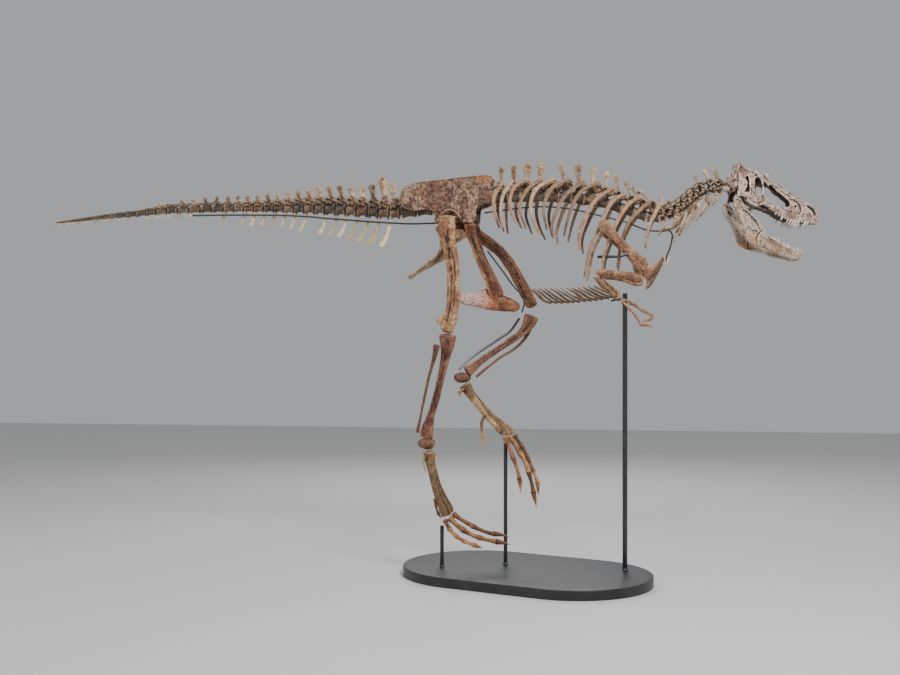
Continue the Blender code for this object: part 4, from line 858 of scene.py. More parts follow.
SHOULDER_LOOK = BoneFinish("shoulder bone", "shoulder_bone", pale=(0.60, 0.40, 0.27), body=(0.28, 0.15, 0.085),
                           dark_share=0.30, ochre=(0.48, 0.26, 0.11), grit=0.85)
ARM_LOOK = BoneFinish("arm bone", "arm_bone", pale=(0.60, 0.41, 0.27), body=(0.28, 0.155, 0.085), dark_share=0.28,
                      grit=0.75)
BELLY_LOOK = BoneFinish("belly rib bone", "belly_bone", pale=(0.42, 0.28, 0.17), body=(0.18, 0.10, 0.055),
                        grey_share=0.30)
CHEVRON_LOOK = BoneFinish("chevron bone", "vertebra_bone", pale=(0.80, 0.66, 0.42), body=(0.46, 0.30, 0.16),
                          pale_share=0.70, dark_share=0.14, stain_share=0.20, depth=1.20)
BASE_LOOK = SteelFinish("base paint", "base_steel")
ROD_LOOK = SteelFinish("rod paint", "rod_steel", paint=(0.020, 0.019, 0.020), roughness=0.34, dust_share=0.25)


# ---------------------------------------------------------------- stand
@dataclass
class OvalBase:
    """The heavy oval plate: flat top, soft edge."""

    length: float = 1.87
    width: float = 1.155
    height: float = 0.07
    turn: float = math.radians(-20.0)
    edge: float = 0.006
    arc: int = 65

    def build(self) -> None:
        """A rim profile of (inset, height) carried round two half circles joined by straights.

        A point is (+-straight + (r - inset) cos t, (r - inset) sin t), turned about Z. Insets larger
        than the edge are shares of the radius, for the rings that close the top and the bottom.
        """
        bend = np.linspace(0.0, math.pi / 2.0, 7)
        foot, rim = 0.5 * self.edge, self.edge
        inset = np.concatenate([[0.9, 0.5, 0.1], foot * (1 - np.sin(bend)), rim * (1 - np.cos(bend)), [0.1, 0.5, 0.9]])
        level = np.concatenate([[0.0, 0.0, 0.0], foot * (1 - np.cos(bend)),
                                self.height - rim * (1 - np.sin(bend)), [self.height] * 3])
        radius = self.width / 2.0
        straight = (self.length - self.width) / 2.0
        half = np.linspace(-math.pi / 2.0, math.pi / 2.0, self.arc)
        angle = np.concatenate([half, half + math.pi])
        push = np.repeat([straight, -straight], self.arc)
        inner = inset > self.edge
        reach = radius - np.where(inner, inset * radius, inset)
        x = np.where(inner[:, None], (1 - inset[:, None]) * push[None, :], push[None, :])
        x = x + reach[:, None] * np.cos(angle)[None, :]
        y = reach[:, None] * np.sin(angle)[None, :]
        cos, sin = math.cos(self.turn), math.sin(self.turn)
        grid = np.stack([x * cos - y * sin, x * sin + y * cos, np.repeat(level[:, None], 2 * self.arc, 1)], axis=-1)
        stock = Stock(3)
        stock.add(grid)
        piece = finish_piece(stock.skin("base_plate"), "base_plate", BASE_LOOK, ["stand_base"], Matrix.Identity(4))
        piece.data.set_sharp_from_angle(angle=math.radians(40.0))


def rod_surface(points: Sequence[Point], radius: float, steps: int = 48) -> np.ndarray:
    """Round bar through points."""
    return sweep([(*p, radius, radius) for p in points], steps=steps, around=20, dome=0.25)


@dataclass
class Armature:
    """Rods that stand on the base, the bar under the tail and the bars that carry trunk and raised leg."""

    base_top: float = 0.0703
    leg_rod: float = 0.0140
    chest_rod: float = 0.0175
    bar_heights: Rows = mm((-620, 2580), (-860, 2577), (-1010, 2587), (-1160, 2598), (-1320, 2614), (-1480, 2629),
                           (-1640, 2647), (-1800, 2660), (-1960, 2668), (-2300, 2680), (-2620, 2688))

    def upright(self, x: float, y: float, top: float, radius: float) -> list[np.ndarray]:
        """Rod with a low welded collar at its foot."""
        collar = sweep([(x, y, self.base_top + 0.001, radius + 0.008, radius + 0.008),
                        (x, y, self.base_top + 0.006, radius + 0.004, radius + 0.004),
                        (x, y, self.base_top + 0.014, radius, radius)], steps=8, around=32, dome=0.02)
        return [rod_surface([(x, y, self.base_top + 0.003), (x, y, 0.5 * top), (x, y, top - 0.003)], radius, 12),
                collar]

    def build(self) -> None:
        """Make each bar as its own piece."""
        tail = [(x, sweep_of_tail(x) - 0.019, along(self.bar_heights, x)) for x in np.linspace(-0.62, -2.615, 30)]
        near = [rod_surface(mm((712, 0, 2004), (660, 0, 2012), (612, 0, 2004)), 0.0075)]
        pieces = {"rod_rear": (self.upright(-0.605, -0.095, 0.374, self.leg_rod), "stand_rod_rear"),
                  "rod_mid": (self.upright(-0.160, 0.085, 0.964, self.leg_rod), "stand_rod_mid"),
                  "rod_front": (self.upright(0.711, 0.0, 2.058, self.chest_rod) + near, "stand_rod_front"),
                  "bar_tail": ([sweep([(*p, 0.0058, 0.0066) for p in tail], steps=90, around=12, power=3.5, dome=0.2)],
                               "stand_tail_bar"),
                  "rod_trunk": ([rod_surface(mm(
                      (-300, -50, 2645), (-150, -55, 2664), (140, -55, 2683), (320, -55, 2664), (535, -55, 2612),
                      (712, -40, 2566), (890, 0, 2505), (980, 0, 2500), (1030, 0, 2500), (1043, 0, 2480),
                      (1043, 0, 2440), (1029, 0, 2380), (1003, 0, 2310), (998, 0, 2274)), 0.0058, 140)],
                                "stand_trunk_rod"),
                  "bar_chest": ([sweep(mm(
                      (517, -20, 2320, 9, 11), (600, -20, 2320, 9, 11), (680, 0, 2326, 9, 11), (758, 20, 2350, 9, 11)),
                                       around=16, power=3.5, dome=0.2)], "stand_chest_bar"),
                  "bar_shin": ([sweep(mm(
                      (-75, 255, 1884, 9, 9), (-105, 262, 1840, 8, 9), (-140, 250, 1790, 6, 9),
                      (-215, 215, 1735, 5, 9), (-430, 110, 1578, 5, 9), (-500, 55, 1507, 5, 9)), steps=60, around=16,
                                      power=3.5, dome=0.2)], "stand_leg_bar"),
                  "rod_knee": ([rod_surface(mm(
                      (-301, 125, 2384), (-190, 150, 2235), (-84, 170, 2093), (-50, 178, 2062), (-32, 186, 1995),
                      (-50, 190, 1927)), 0.0058, 70)], "stand_knee_rod")}
        for name, (grids, node) in pieces.items():
            stock = Stock(5)
            stock.add(*grids)
            finish_piece(stock.skin(name), name, ROD_LOOK, [node])


# ---------------------------------------------------------------- backbone
TAIL_FROM, TAIL_TO = -0.927, -3.935
TAIL_SWEEP, TAIL_SWEEP_POWER = 0.55, 1.7


def sweep_of_tail(x: float) -> float:
    """How far the tail has bent to the left at x."""
    share = max(0.0, (TAIL_FROM - x) / (TAIL_FROM - TAIL_TO))
    return TAIL_SWEEP * share**TAIL_SWEEP_POWER


def even(rows: Rows, count: int) -> np.ndarray:
    """count + 1 places at even steps along the smooth line through rows."""
    fine = spline(rows, TABLE_STEPS)
    run = np.concatenate([[0.0], np.cumsum(np.linalg.norm(np.diff(fine, axis=0), axis=1))])
    want = np.linspace(0.0, run[-1], count + 1)
    return np.stack([np.interp(want, run, fine[:, k]) for k in range(3)], axis=1)


@dataclass(frozen=True)
class Vertebra:
    """One vertebra in its own frame: x ahead, y left, z up, its body's centre at the origin."""

    length: float
    half_width: float
    half_height: float
    spine_rise: float
    spine_shift: float = 0.0
    spine_half_length: float = 0.020
    spine_half_width: float = 0.009
    arch_rise: float = 0.080
    arch_half: float = 0.024
    wing_reach: float = 0.0
    wing_rise: float = 0.0
    wing_sweep: float = 0.0
    wing_half: float = 0.014
    prong: float = 0.022
    waist: float = 0.76
    fill: float = 0.96

    def surfaces(self) -> tuple[list[np.ndarray], list[np.ndarray]]:
        """Body, arch, the four joint prongs and the side wings; and the spine."""
        root = 0.55 * self.half_height
        long = self.length
        spine = []
        grids = [spool(long * self.fill, self.half_width, self.half_height, self.waist)]
        grids.append(sweep([(0.0, 0.0, root, self.arch_half, 0.34 * long),
                            (0.0, 0.0, 0.5 * (root + self.arch_rise), self.arch_half * 0.80, 0.27 * long),
                            (0.0, 0.0, self.arch_rise, self.arch_half * 0.62, 0.27 * long)],
                           steps=12, around=24, power=3.0, dome=0.3))
        rise, shift = self.spine_rise, self.spine_shift
        if rise > self.arch_rise + 0.01:
            step = rise - self.arch_rise
            low = self.arch_rise - 0.25 * min(step, 0.06)
            wide, deep = self.spine_half_width, self.spine_half_length
            rows = [(share * shift, 0.0, self.arch_rise + share * step - lift, wide * a, deep * b)
                    for share, lift, a, b in ((0.33, 0.0, 0.9, 0.74), (0.62, 0.0, 0.9, 0.92), (0.86, 0.0, 1.25, 1.12),
                                              (1.0, 0.0045, 1.1, 1.0))]
            spine.append(sweep([(0.0, 0.0, low, wide * 1.5, deep * 1.05), *rows],
                               steps=28, around=28, power=3.2, dome=0.30))
        reach = self.prong
        for sign in (-1.0, 1.0):
            y = sign * self.arch_half
            thick = 0.30 * self.arch_half + 0.002
            prongs = (((0.18 * long, 0.5, 0.80, 1.3, 1.4), (0.45 * long, 0.8, 0.88, 1.0, 1.0),
                       (0.45 * long + reach, 0.9, 0.98, 0.8, 0.7)),
                      ((-0.15 * long, 0.4, 0.98, 1.2, 1.3), (-0.42 * long, 0.6, 1.05, 1.0, 1.0),
                       (-0.42 * long - 0.8 * reach, 0.62, 1.02, 0.8, 0.6)))
            for prong in prongs:
                grids.append(sweep([(x, out * y, up * self.arch_rise, thick * a, thick * b)
                                    for x, out, up, a, b in prong], steps=12, around=12))
            if self.wing_reach > 0.0:
                half = self.wing_half
                grids.append(sweep([(0.02 * long, sign * 0.4 * self.arch_half, 0.72 * self.wing_rise, half * 1.3,
                                     half * 0.9),
                                    (0.3 * self.wing_sweep, sign * 0.45 * self.wing_reach, 0.90 * self.wing_rise,
                                     half * 0.85, half * 0.50),
                                    (self.wing_sweep, sign * self.wing_reach, self.wing_rise, half, half * 0.55)],
                                   hint=AHEAD, steps=18, around=14))
        return grids, spine

    def join(self, stock: Stock, front: np.ndarray, rear: np.ndarray) -> None:
        """Gather the surfaces between two joints with a random tone; the body, arch, prongs and wings are darker than
        the spine as painted shade.
        """
        axes = basis(front - rear)
        shade = float(stock.picker.uniform(0.0, 1.0))
        # Painted shade: body, arch, prongs and wings get a tone of at most 0.30, the spine 0.45 to 0.95.
        for grids, tone in zip(self.surfaces(), (0.30 * shade, 0.45 + 0.50 * shade)):
            stock.add(*[placed(grid, 0.5 * (front + rear), axes) for grid in grids], tone=tone)


def spined(front: np.ndarray, rear: np.ndarray, tip: Sequence[float], **shape: float) -> Vertebra:
    """Vertebra between two joints whose spine reaches a tip.

    Args:
        front: joint at its head end.
        rear: joint at its tail end.
        tip: (x, z, half length) of the spine's tip.
        shape: its other sizes.

    Returns:
        The vertebra.
    """
    middle = 0.5 * (front + rear)
    reach = basis(front - rear) @ (np.array([tip[0], middle[1], tip[1]]) - middle)
    return Vertebra(length=float(np.linalg.norm(front - rear)), spine_rise=float(reach[2]),
                    spine_shift=float(reach[0]), spine_half_length=tip[2], **shape)


@dataclass
class Neck:
    """Nine vertebrae in an S, with slender ribs that point back and down."""

    line: Rows = mm((1396, 28, 2782), (1350, 25, 2788), (1290, 18, 2786), (1220, 10, 2746), (1150, 4, 2686),
                    (1080, 0, 2635), (1020, 0, 2608), (957, 0, 2598))
    count: int = 9
    # Spine tip x, tip z and half length, head end first.
    spines: Rows = mm((1333, 2944, 17), (1263, 2934, 13), (1197, 2902, 12), (1155, 2795, 12), (1135, 2762, 12),
                      (1103, 2716, 13), (1076, 2722, 13), (1022, 2724, 14), (966, 2744, 15))
    # Each rib in side view from its root to its tip: (x, z, half width).
    ribs: Sequence[Rows] = (
        mm((1388, 2772, 9), (1362, 2730, 8), (1328, 2684, 4)), mm((1352, 2768, 14), (1318, 2708, 10), (1242, 2607, 4)),
        mm((1300, 2766, 16), (1280, 2688, 11), (1215, 2575, 4)),
        mm((1245, 2730, 17), (1208, 2626, 11), (1139, 2514, 4)),
        mm((1205, 2690, 17), (1162, 2596, 11), (1096, 2470, 4)),
        mm((1162, 2655, 17), (1118, 2556, 11), (1062, 2423, 4)),
        mm((1112, 2622, 16), (1086, 2530, 10), (1052, 2452, 4)),
        mm((1066, 2640, 18), (1078, 2575, 24), (1052, 2530, 12), (962, 2516, 4)),
        mm((1004, 2592, 14), (988, 2532, 9), (944, 2470, 4)))

    def build(self) -> None:
        """Place each vertebra and its ribs, and fuse them."""
        stock = Stock(11)
        joints = even(self.line, self.count)
        for i, tip in enumerate(self.spines):
            front, rear = joints[i], joints[i + 1]
            grow = i / self.count
            middle = 0.5 * (front + rear)
            spined(front, rear, tip, half_width=0.032 + 0.010 * grow, half_height=0.026 + 0.012 * grow,
                   spine_half_width=0.0095, arch_rise=0.066, arch_half=0.046, prong=0.020, wing_reach=0.066,
                   wing_rise=0.004, wing_sweep=-0.014, wing_half=0.014, waist=0.66).join(stock, front, rear)
            rows = [(x, middle[1] + 0.040 + 0.034 * min(k, 1), z, half, 0.55 * half + 0.001)
                    for k, (x, z, half) in enumerate(self.ribs[i])]
            rib = sweep(rows, hint=(1.0, 0.0, 0.4), steps=34, around=14, power=2.4)
            knob = sweep([(front[0] - 0.012, middle[1] + 0.030, front[2] + 0.060, 0.0075, 0.0065),
                          (middle[0] - 0.004, middle[1] + 0.046, middle[2] + 0.036, 0.0080, 0.0070),
                          (rear[0] - 0.006, middle[1] + 0.040, rear[2] + 0.070, 0.0070, 0.0060)], steps=18, around=14)
            tone = float(stock.picker.uniform(0.2, 1.0))
            for grid, shade in ((rib, tone), (knob, 0.25 * tone)):
                stock.add(grid, mirror(grid - np.array([0.0, 2 * middle[1], 0.0])), tone=shade)
        stock.piece("neck_bones", SPINE_LOOK, ["neck"], Weathering(0.0012, 0.0018, 0.0007, 0.0036), 0.0036)


@dataclass
class Back:
    """Thirteen back vertebrae with tall plate-like spines, and their ribs."""

    line: Rows = mm((956.7, 0, 2598), (850, 0, 2608), (750, 0, 2642), (640, 0, 2684), (530, 0, 2712), (320, 0, 2748),
                    (100, 0, 2762), (-225, 0, 2758))
    count: int = 13
    wing_reach: float = 0.088
    # Spine tip x, tip z and half length, first vertebra to last.
    spines: Rows = mm((810, 2800, 12), (757, 2826, 13), (711, 2870, 15), (647, 2912, 15), (583, 2938, 16),
                      (490, 2962, 21), (375, 2993, 27), (253, 2990, 21), (185, 2905, 17), (112, 3010, 28),
                      (13, 3004, 30), (-89, 2998, 23), (-180, 2990, 18))
    # Each rib from its knob to its tip: (x, distance from the middle plane, z).
    ribs: Sequence[Rows] = (
        mm((960, 82, 2690), (922, 129, 2615), (880, 150, 2520), (856, 150, 2395)),
        mm((880, 82, 2700), (818, 147, 2640), (748, 188, 2560), (693, 202, 2430), (660, 200, 2232)),
        mm((815, 85, 2738), (748, 149, 2690), (679, 199, 2590), (631, 227, 2490), (570, 234, 2320), (556, 228, 2228)),
        mm((718, 85, 2762), (640, 130, 2720), (574, 194, 2605), (535, 230, 2505), (480, 247, 2390), (444, 246, 2230),
           (432, 238, 2165)),
        mm((630, 86, 2806), (520, 165, 2725), (430, 230, 2570), (392, 252, 2440), (402, 246, 2362)),
        mm((530, 86, 2846), (410, 185, 2775), (325, 252, 2600), (290, 254, 2455)),
        mm((425, 86, 2856), (310, 165, 2765), (225, 238, 2600), (204, 257, 2515), (213, 252, 2442)),
        mm((320, 86, 2876), (205, 180, 2805), (146, 250, 2640), (170, 252, 2500)),
        mm((205, 86, 2880), (90, 165, 2800), (54, 230, 2690), (90, 248, 2530), (120, 244, 2472)),
        mm((110, 86, 2880), (8, 180, 2770), (-24, 234, 2660), (20, 238, 2515)),
        mm((10, 86, 2885), (-78, 170, 2800), (-90, 217, 2640), (-55, 219, 2555)),
        mm((-90, 84, 2872), (-152, 150, 2760), (-166, 185, 2650), (-155, 188, 2515)),
        mm((-175, 80, 2850), (-222, 128, 2740), (-215, 148, 2640), (-180, 150, 2528)))

    def build_spine(self) -> None:
        """Place the vertebrae and fuse them."""
        stock = Stock(23)
        joints = even(self.line, self.count)
        for i, tip in enumerate(self.spines):
            front, rear = joints[i], joints[i + 1]
            grow = i / self.count
            spined(front, rear, tip, half_width=0.038 + 0.008 * grow, half_height=0.042 + 0.008 * grow,
                   spine_half_width=0.0085, arch_rise=0.086, arch_half=0.027, wing_reach=self.wing_reach,
                   wing_rise=0.104, wing_sweep=-0.012, wing_half=0.017, prong=0.018,
                   waist=0.72).join(stock, front, rear)
        stock.piece("back_bones", SPINE_LOOK, ["ribcage_right", "ribcage_left"],
                    Weathering(0.0016, 0.0016, 0.0006, 0.003), 0.0044, 2)

    def rib(self, number: int) -> list[np.ndarray]:
        """One left rib: a flattened rod that thins to its tip, and the neck to its second knob."""
        rows = self.ribs[number]
        widths = np.interp(np.linspace(0, 1, len(rows)), (0.0, 0.12, 0.28, 0.6, 1.0),
                           (0.0150, 0.0185, 0.0150, 0.0120, 0.0075))
        shaft = [(x, y, z, w, w * 0.60) for (x, y, z), w in zip(rows, widths)]
        shaft[-1] = (*rows[-1], widths[-1], widths[-1] * 0.7)
        knob, second = rows[:2]
        neck_start = [a + 0.35 * (b - a) for a, b in zip(knob, second)]
        neck = sweep([(*neck_start, 0.009, 0.008), (knob[0] + 0.012, 0.062, knob[2] - 0.035, 0.008, 0.006),
                      (knob[0] + 0.022, 0.042, knob[2] - 0.062, 0.010, 0.009)],
                     hint=AHEAD, steps=14, around=12)
        return [sweep(shaft, hint=AHEAD, steps=60, around=16, power=2.4), neck]

    def build_ribs(self) -> None:
        """Both sides, each a piece."""
        for side in Side:
            stock = Stock(31 if side is Side.RIGHT else 37)
            for number in range(self.count):
                grids = self.rib(number)
                if side is Side.RIGHT:
                    grids = [mirror(grid) for grid in grids]
                stock.add(*grids)
            name = f"ribs_{side.name.lower()}"
            stock.piece(name, RIB_LOOK, [f"ribcage_{side.name.lower()}"], Weathering(0.0012, 0.0007, 0.0003, 0.0008))


@dataclass
class Tail:
    """Thirty-eight tail vertebrae and the chevrons under them."""

    count: int = 38
    cuts: Sequence[int] = (0, 8, 16, 25, 38)
    growth: Rows = ((0, 0.083), (15, 0.083), (17, 0.100), (22, 0.100), (25, 0.085), (37, 0.038))
    heights: Rows = mm((-930, 2664), (-1020, 2666), (-1360, 2699), (-1560, 2712), (-1880, 2721), (-2470, 2733),
                       (-2870, 2735), (-3150, 2718), (-3440, 2707), (-3740, 2690), (-3940, 2681))
    half_heights: Rows = mm((-930, 60), (-1020, 64), (-1360, 64), (-1560, 57), (-1880, 40), (-2130, 32), (-2870, 30),
                            (-3150, 22), (-3440, 16), (-3740, 10), (-3940, 4))
    spine_rise: Rows = mm((-930, 200), (-1040, 255), (-1110, 205), (-1250, 165), (-1370, 180), (-1640, 140),
                          (-1900, 107), (-2300, 97), (-2490, 66), (-2900, 45), (-3200, 30), (-3600, 16), (-3940, 6))
    chevron_lengths: Rows = mm(
        (-930, 115), (-1000, 180), (-1150, 170), (-1300, 137), (-1600, 125), (-1800, 90), (-2100, 85), (-2300, 60),
        (-2340, 52), (-3300, 50), (-3940, 22))
    skid_from: float = -2.36

    def joints(self) -> np.ndarray:
        """Every joint, from the vertebrae's lengths scaled to the tail's run along x."""
        lengths = along(self.growth, np.arange(self.count))
        run = np.concatenate([[0.0], np.cumsum(lengths)])
        x = TAIL_FROM - run * (TAIL_FROM - TAIL_TO) / run[-1]
        y = np.array([sweep_of_tail(value) for value in x])
        return np.stack([x, y, along(self.heights, x)], axis=1)

    def chevron(self, joint: np.ndarray, axes: np.ndarray) -> list[np.ndarray]:
        """The bone that hangs under a joint: a bent blade near the hips, a low skid near the tip."""
        high = float(along(self.half_heights, joint[0]))
        length = float(along(self.chevron_lengths, joint[0]))
        if joint[0] < self.skid_from:
            low = -high - 0.30 * length
            grid = sweep([(0.55 * length, 0.0, low + 0.004, 0.0035, 0.0045), (0.10 * length, 0.0, low, 0.0045, 0.0075),
                          (-0.55 * length, 0.0, low - 0.006, 0.0030, 0.0040)], steps=20, around=12)
            post = sweep([(0.0, 0.0, -high * 0.9, 0.004, 0.005), (0.0, 0.0, low, 0.004, 0.006)], steps=8, around=10)
            return [placed(grid, joint, axes), placed(post, joint, axes)]
        top = -high - 0.012
        grids = []
        for sign in (-1.0, 1.0):
            grids.append(sweep([(0.010, sign * 0.013, top + 0.010, 0.005, 0.010),
                                (0.006, sign * 0.008, top - 0.010, 0.0045, 0.009),
                                (-0.04 * length, 0.0, top - 0.28 * length, 0.005, 0.010)], steps=14, around=12))
        stout = 0.65 + 2.9 * length
        grids.append(sweep([(-0.03 * length, 0.0, top - 0.20 * length, 0.0060, 0.0115 * stout),
                            (-0.10 * length, 0.0, top - 0.50 * length, 0.0055, 0.0115 * stout),
                            (-0.22 * length, 0.0, top - 0.76 * length, 0.0060, 0.0150 * stout),
                            (-0.33 * length, 0.0, top - 0.92 * length, 0.0060, 0.0165 * stout),
                            (-0.38 * length, 0.0, top - 0.97 * length, 0.0050, 0.0120 * stout)],
                           steps=26, around=14, power=2.6, dome=0.3))
        return [placed(grid, joint, axes) for grid in grids]

    def build(self) -> None:
        """Make each length of the tail, and its chevrons as bones of their own."""
        joints = self.joints()
        for part, (first, last) in enumerate(zip(self.cuts, self.cuts[1:]), start=1):
            stock, hung = Stock(40 + part), Stock(50 + part)
            for i in range(first, last):
                front, rear = joints[i], joints[i + 1]
                long = float(np.linalg.norm(front - rear))
                high = float(along(self.half_heights, front[0]))
                rise = float(along(self.spine_rise, front[0] - 0.03))
                near_tip = rise < 0.05
                bone = Vertebra(
                    length=long, half_width=0.80 * high, half_height=high * 0.97,
                    spine_rise=max(rise, high * 1.25), spine_shift=-0.012 - 0.12 * rise,
                    spine_half_length=0.25 * long + 0.012 * max(0.0, 1.0 - i / 6.0),
                    spine_half_width=0.0038 + 0.025 * rise, fill=0.80 if i < 24 else 0.92,
                    arch_rise=high * 1.02 + (0.004 if near_tip else 0.014), arch_half=0.42 * high + 0.002,
                    wing_reach=(0.80 * high + 0.115 * (1.0 - i / 15.0)) if i < 15 else 0.0, wing_rise=high * 0.75,
                    wing_sweep=-0.012, wing_half=0.012, prong=0.012 + (0.25 * long if i > 16 else 0.0), waist=0.62)
                bone.join(stock, front, rear)
                if i < last - 1 or last == self.count:
                    hung.add(*self.chevron(rear, basis(front - rear)))
            voxel, fine = mm((4, 1000), (3.4, 800), (3, 600), (2.2, 350))[part - 1]
            stock.piece(f"tail_bones_{part}", SPINE_LOOK, [f"tail_{part}"],
                        Weathering(0.0012 * fine, 0.0013 * fine, 0.0005 * fine, 0.0024 * fine), voxel, 2,
                        wear_seed=60 + part)
            hung.piece(f"chevrons_{part}", CHEVRON_LOOK, [f"tail_{part}"],
                       Weathering(0.0008 * fine, 0.0006 * fine, 0.0003 * fine, 0.0006 * fine), wear_seed=70 + part)


# ---------------------------------------------------------------- hips
def hip_sheet(x: np.ndarray | float, z: np.ndarray | float) -> np.ndarray | float:
    """The hip blades lean together towards the top: y = 0.138 - 0.22 (z - 2.56), bowed by 8 mm."""
    return 0.138 - 0.22 * (z - 2.56) + 0.008 * np.cos(3.0 * (x + 0.55))


@dataclass
class Hips:
    """Sacrum, the two hip blades, the pubes with their boot, and the ischia."""

    sacrum_line: Rows = ((-0.2253, 0.0, 2.758), (-0.45, 0.0, 2.722), (-0.70, 0.0, 2.684), (-0.9267, 0.0, 2.664))
    blade_outline: Rows = mm((-890, 2840), (-830, 2864), (-765, 2878), (-690, 2888), (-617, 2890), (-540, 2902),
                             (-470, 2908), (-400, 2914), (-340, 2920), (-290, 2920), (-262, 2918), (-232, 2895),
                             (-246, 2862), (-250, 2835), (-226, 2800), (-218, 2770), (-240, 2728), (-300, 2700),
                             (-338, 2688), (-350, 2640), (-356, 2600), (-368, 2572), (-410, 2562), (-455, 2566),
                             (-478, 2584), (-500, 2618), (-543, 2640), (-588, 2618), (-606, 2582), (-632, 2564),
                             (-652, 2580), (-652, 2640), (-680, 2664), (-730, 2668), (-800, 2664), (-876, 2680),
                             (-915, 2715), (-926, 2760), (-912, 2805))
    boot_outline: Rows = mm((-498, 2018), (-480, 2052), (-420, 2066), (-350, 2080), (-275, 2100), (-215, 2075),
                            (-160, 2046), (-100, 2020), (-50, 1992), (-42, 1962), (-58, 1938), (-140, 1930),
                            (-230, 1934), (-320, 1950), (-410, 1970), (-470, 1988))

    def build_sacrum(self) -> None:
        """Six joined vertebrae under the blades."""
        stock = Stock(81)
        joints = even(self.sacrum_line, 6)
        for front, rear in zip(joints, joints[1:]):
            bone = Vertebra(length=float(np.linalg.norm(front - rear)) * 1.04, half_width=0.044, half_height=0.050,
                            spine_rise=0.135, spine_half_length=0.048, spine_half_width=0.009, arch_rise=0.085,
                            arch_half=0.024, wing_reach=0.066, wing_rise=0.030, wing_half=0.026, waist=0.70,
                            fill=0.88)
            bone.join(stock, front, rear)
        stock.piece("sacrum_bones", SPINE_LOOK, ["sacrum"], Weathering(), 0.0044, 2)

    def build_blades(self) -> None:
        """Each blade with its hip socket rim and the ridge over it."""
        for side in Side:
            stock = Stock(83 if side is Side.RIGHT else 84)
            grids = [blade(self.blade_outline, hip_sheet, 0.0145, rim=0.62, centre=(-0.545, 2.74))]
            rim = mm((-628, 2585), (-606, 2632), (-545, 2662), (-490, 2640), (-455, 2588))
            ridge = mm((-535, 2665), (-525, 2740), (-510, 2820), (-500, 2880))
            foot = mm((-402, 2660), (-410, 2610), (-416, 2572))
            for line, out, wide, deep, form in ((rim, 0.010, 0.012, 0.011, dict(steps=30, around=14)),
                                                (ridge, 0.004, 0.012, 0.014, dict(steps=24, around=14)),
                                                (foot, 0.0, 0.022, 0.044, dict(steps=12, around=18, power=2.6,
                                                                               dome=0.2))):
                grids.append(sweep([(x, hip_sheet(x, z) + out, z, wide, deep) for x, z in line], **form))
            if side is Side.RIGHT:
                grids = [mirror(grid) for grid in grids]
            stock.add(*grids, tone=0.55)
            name = f"hip_blade_{side.name.lower()}"
            stock.piece(name, HIP_LOOK, [f"ilium_{side.name.lower()}"], Weathering(0.0036, 0.0032, 0.0013, 0.0060),
                        0.0042, 2, warm=lambda where: (np.clip((where[:, 0] + 0.40) / 0.10, 0.0, 1.0)
                                                       * np.clip((where[:, 2] - 2.84) / 0.04, 0.0, 1.0)))

    def build_pubis(self) -> None:
        """Two shafts that close on a long boot."""
        stock = Stock(87)
        stock.add(blade(self.boot_outline, lambda x, z: 0.0 * x, 0.034, rim=0.45, centre=(-0.25, 2.0)), tone=0.7)
        rows = mm((-396, 128, 2548, 22, 44), (-390, 122, 2500, 18, 38), (-370, 112, 2430, 15, 31),
                  (-335, 96, 2330, 16, 32), (-300, 76, 2250, 17, 36), (-262, 52, 2170, 18, 42),
                  (-215, 22, 2050, 20, 55))
        stock.add_both(sweep(rows, steps=50, around=22), tone=0.4)
        web = sweep(mm((-290, 0, 2215, 60, 10), (-255, 0, 2140, 45, 14), (-225, 0, 2080, 30, 20)), steps=12, around=16)
        stock.add(web, tone=0.4)
        # The grooves below get painted shade, and the rear edge a strong painted highlight.
        cuts = ((0.06, 0.96, -0.10, 0.36, 0.008), (0.30, 0.90, 0.55, 0.20, 0.004))
        stock.piece("pubis_bones", PUBIS_LOOK, ["pubis"], Weathering(0.0026, 0.0018, 0.0007, 0.0040), 0.0042, 2,
                    shape=lambda mesh: groove(mesh, rows, cuts, (1.0, 0.1)),
                    warm=lambda where: (np.clip((-0.24 - where[:, 0]) / 0.10, 0.0, 1.0)
                                        * np.clip((2.10 - where[:, 2]) / 0.03, 0.0, 1.0)))

    def build_ischium(self) -> None:
        """Two shafts that meet and run back, each with a plate towards the pubis."""
        stock = Stock(89)
        rows = mm((-618, 122, 2536, 16, 36), (-590, 108, 2480, 14, 36), (-592, 86, 2410, 13, 34),
                  (-620, 56, 2345, 13, 28), (-700, 22, 2288, 13, 22), (-790, 12, 2232, 11, 17),
                  (-865, 10, 2186, 12, 19))
        shaft = sweep(rows, steps=50, around=20)
        plate = sweep(mm((-575, 102, 2450, 10, 30), (-520, 100, 2478, 9, 30), (-470, 102, 2500, 9, 26),
                         (-448, 104, 2502, 8, 18)), steps=20, around=16)
        stock.add_both(shaft, plate, tone=0.6)
        stock.piece("ischium_bones", ISCHIUM_LOOK, ["ischium"], Weathering(0.0022, 0.0014, 0.0004, 0.0030), 0.0040, 2,
                    shape=lambda mesh: groove(mesh, rows, ((0.30, 0.90, 0.10, 0.30, 0.005),), (0.7, 0.1)))


# ---------------------------------------------------------------- hind legs
def rollers(depth: float, start: float, run: float, power: int) -> Callable[[np.ndarray, np.ndarray], np.ndarray]:
    """Carving of two rollers at a bone's far end: a groove above and below that deepens from start on.

    Args:
        depth: share of the radius lost at the end.
        start: share of the length where the groove starts.
        run: share of the length over which it deepens.
        power: how narrow it is.

    Returns:
        The factor on the radii that sweep asks for.
    """
    return lambda s, angle: 1.0 - depth * np.clip(s - start, 0.0, 1.0) / run * np.abs(np.sin(angle)) ** power


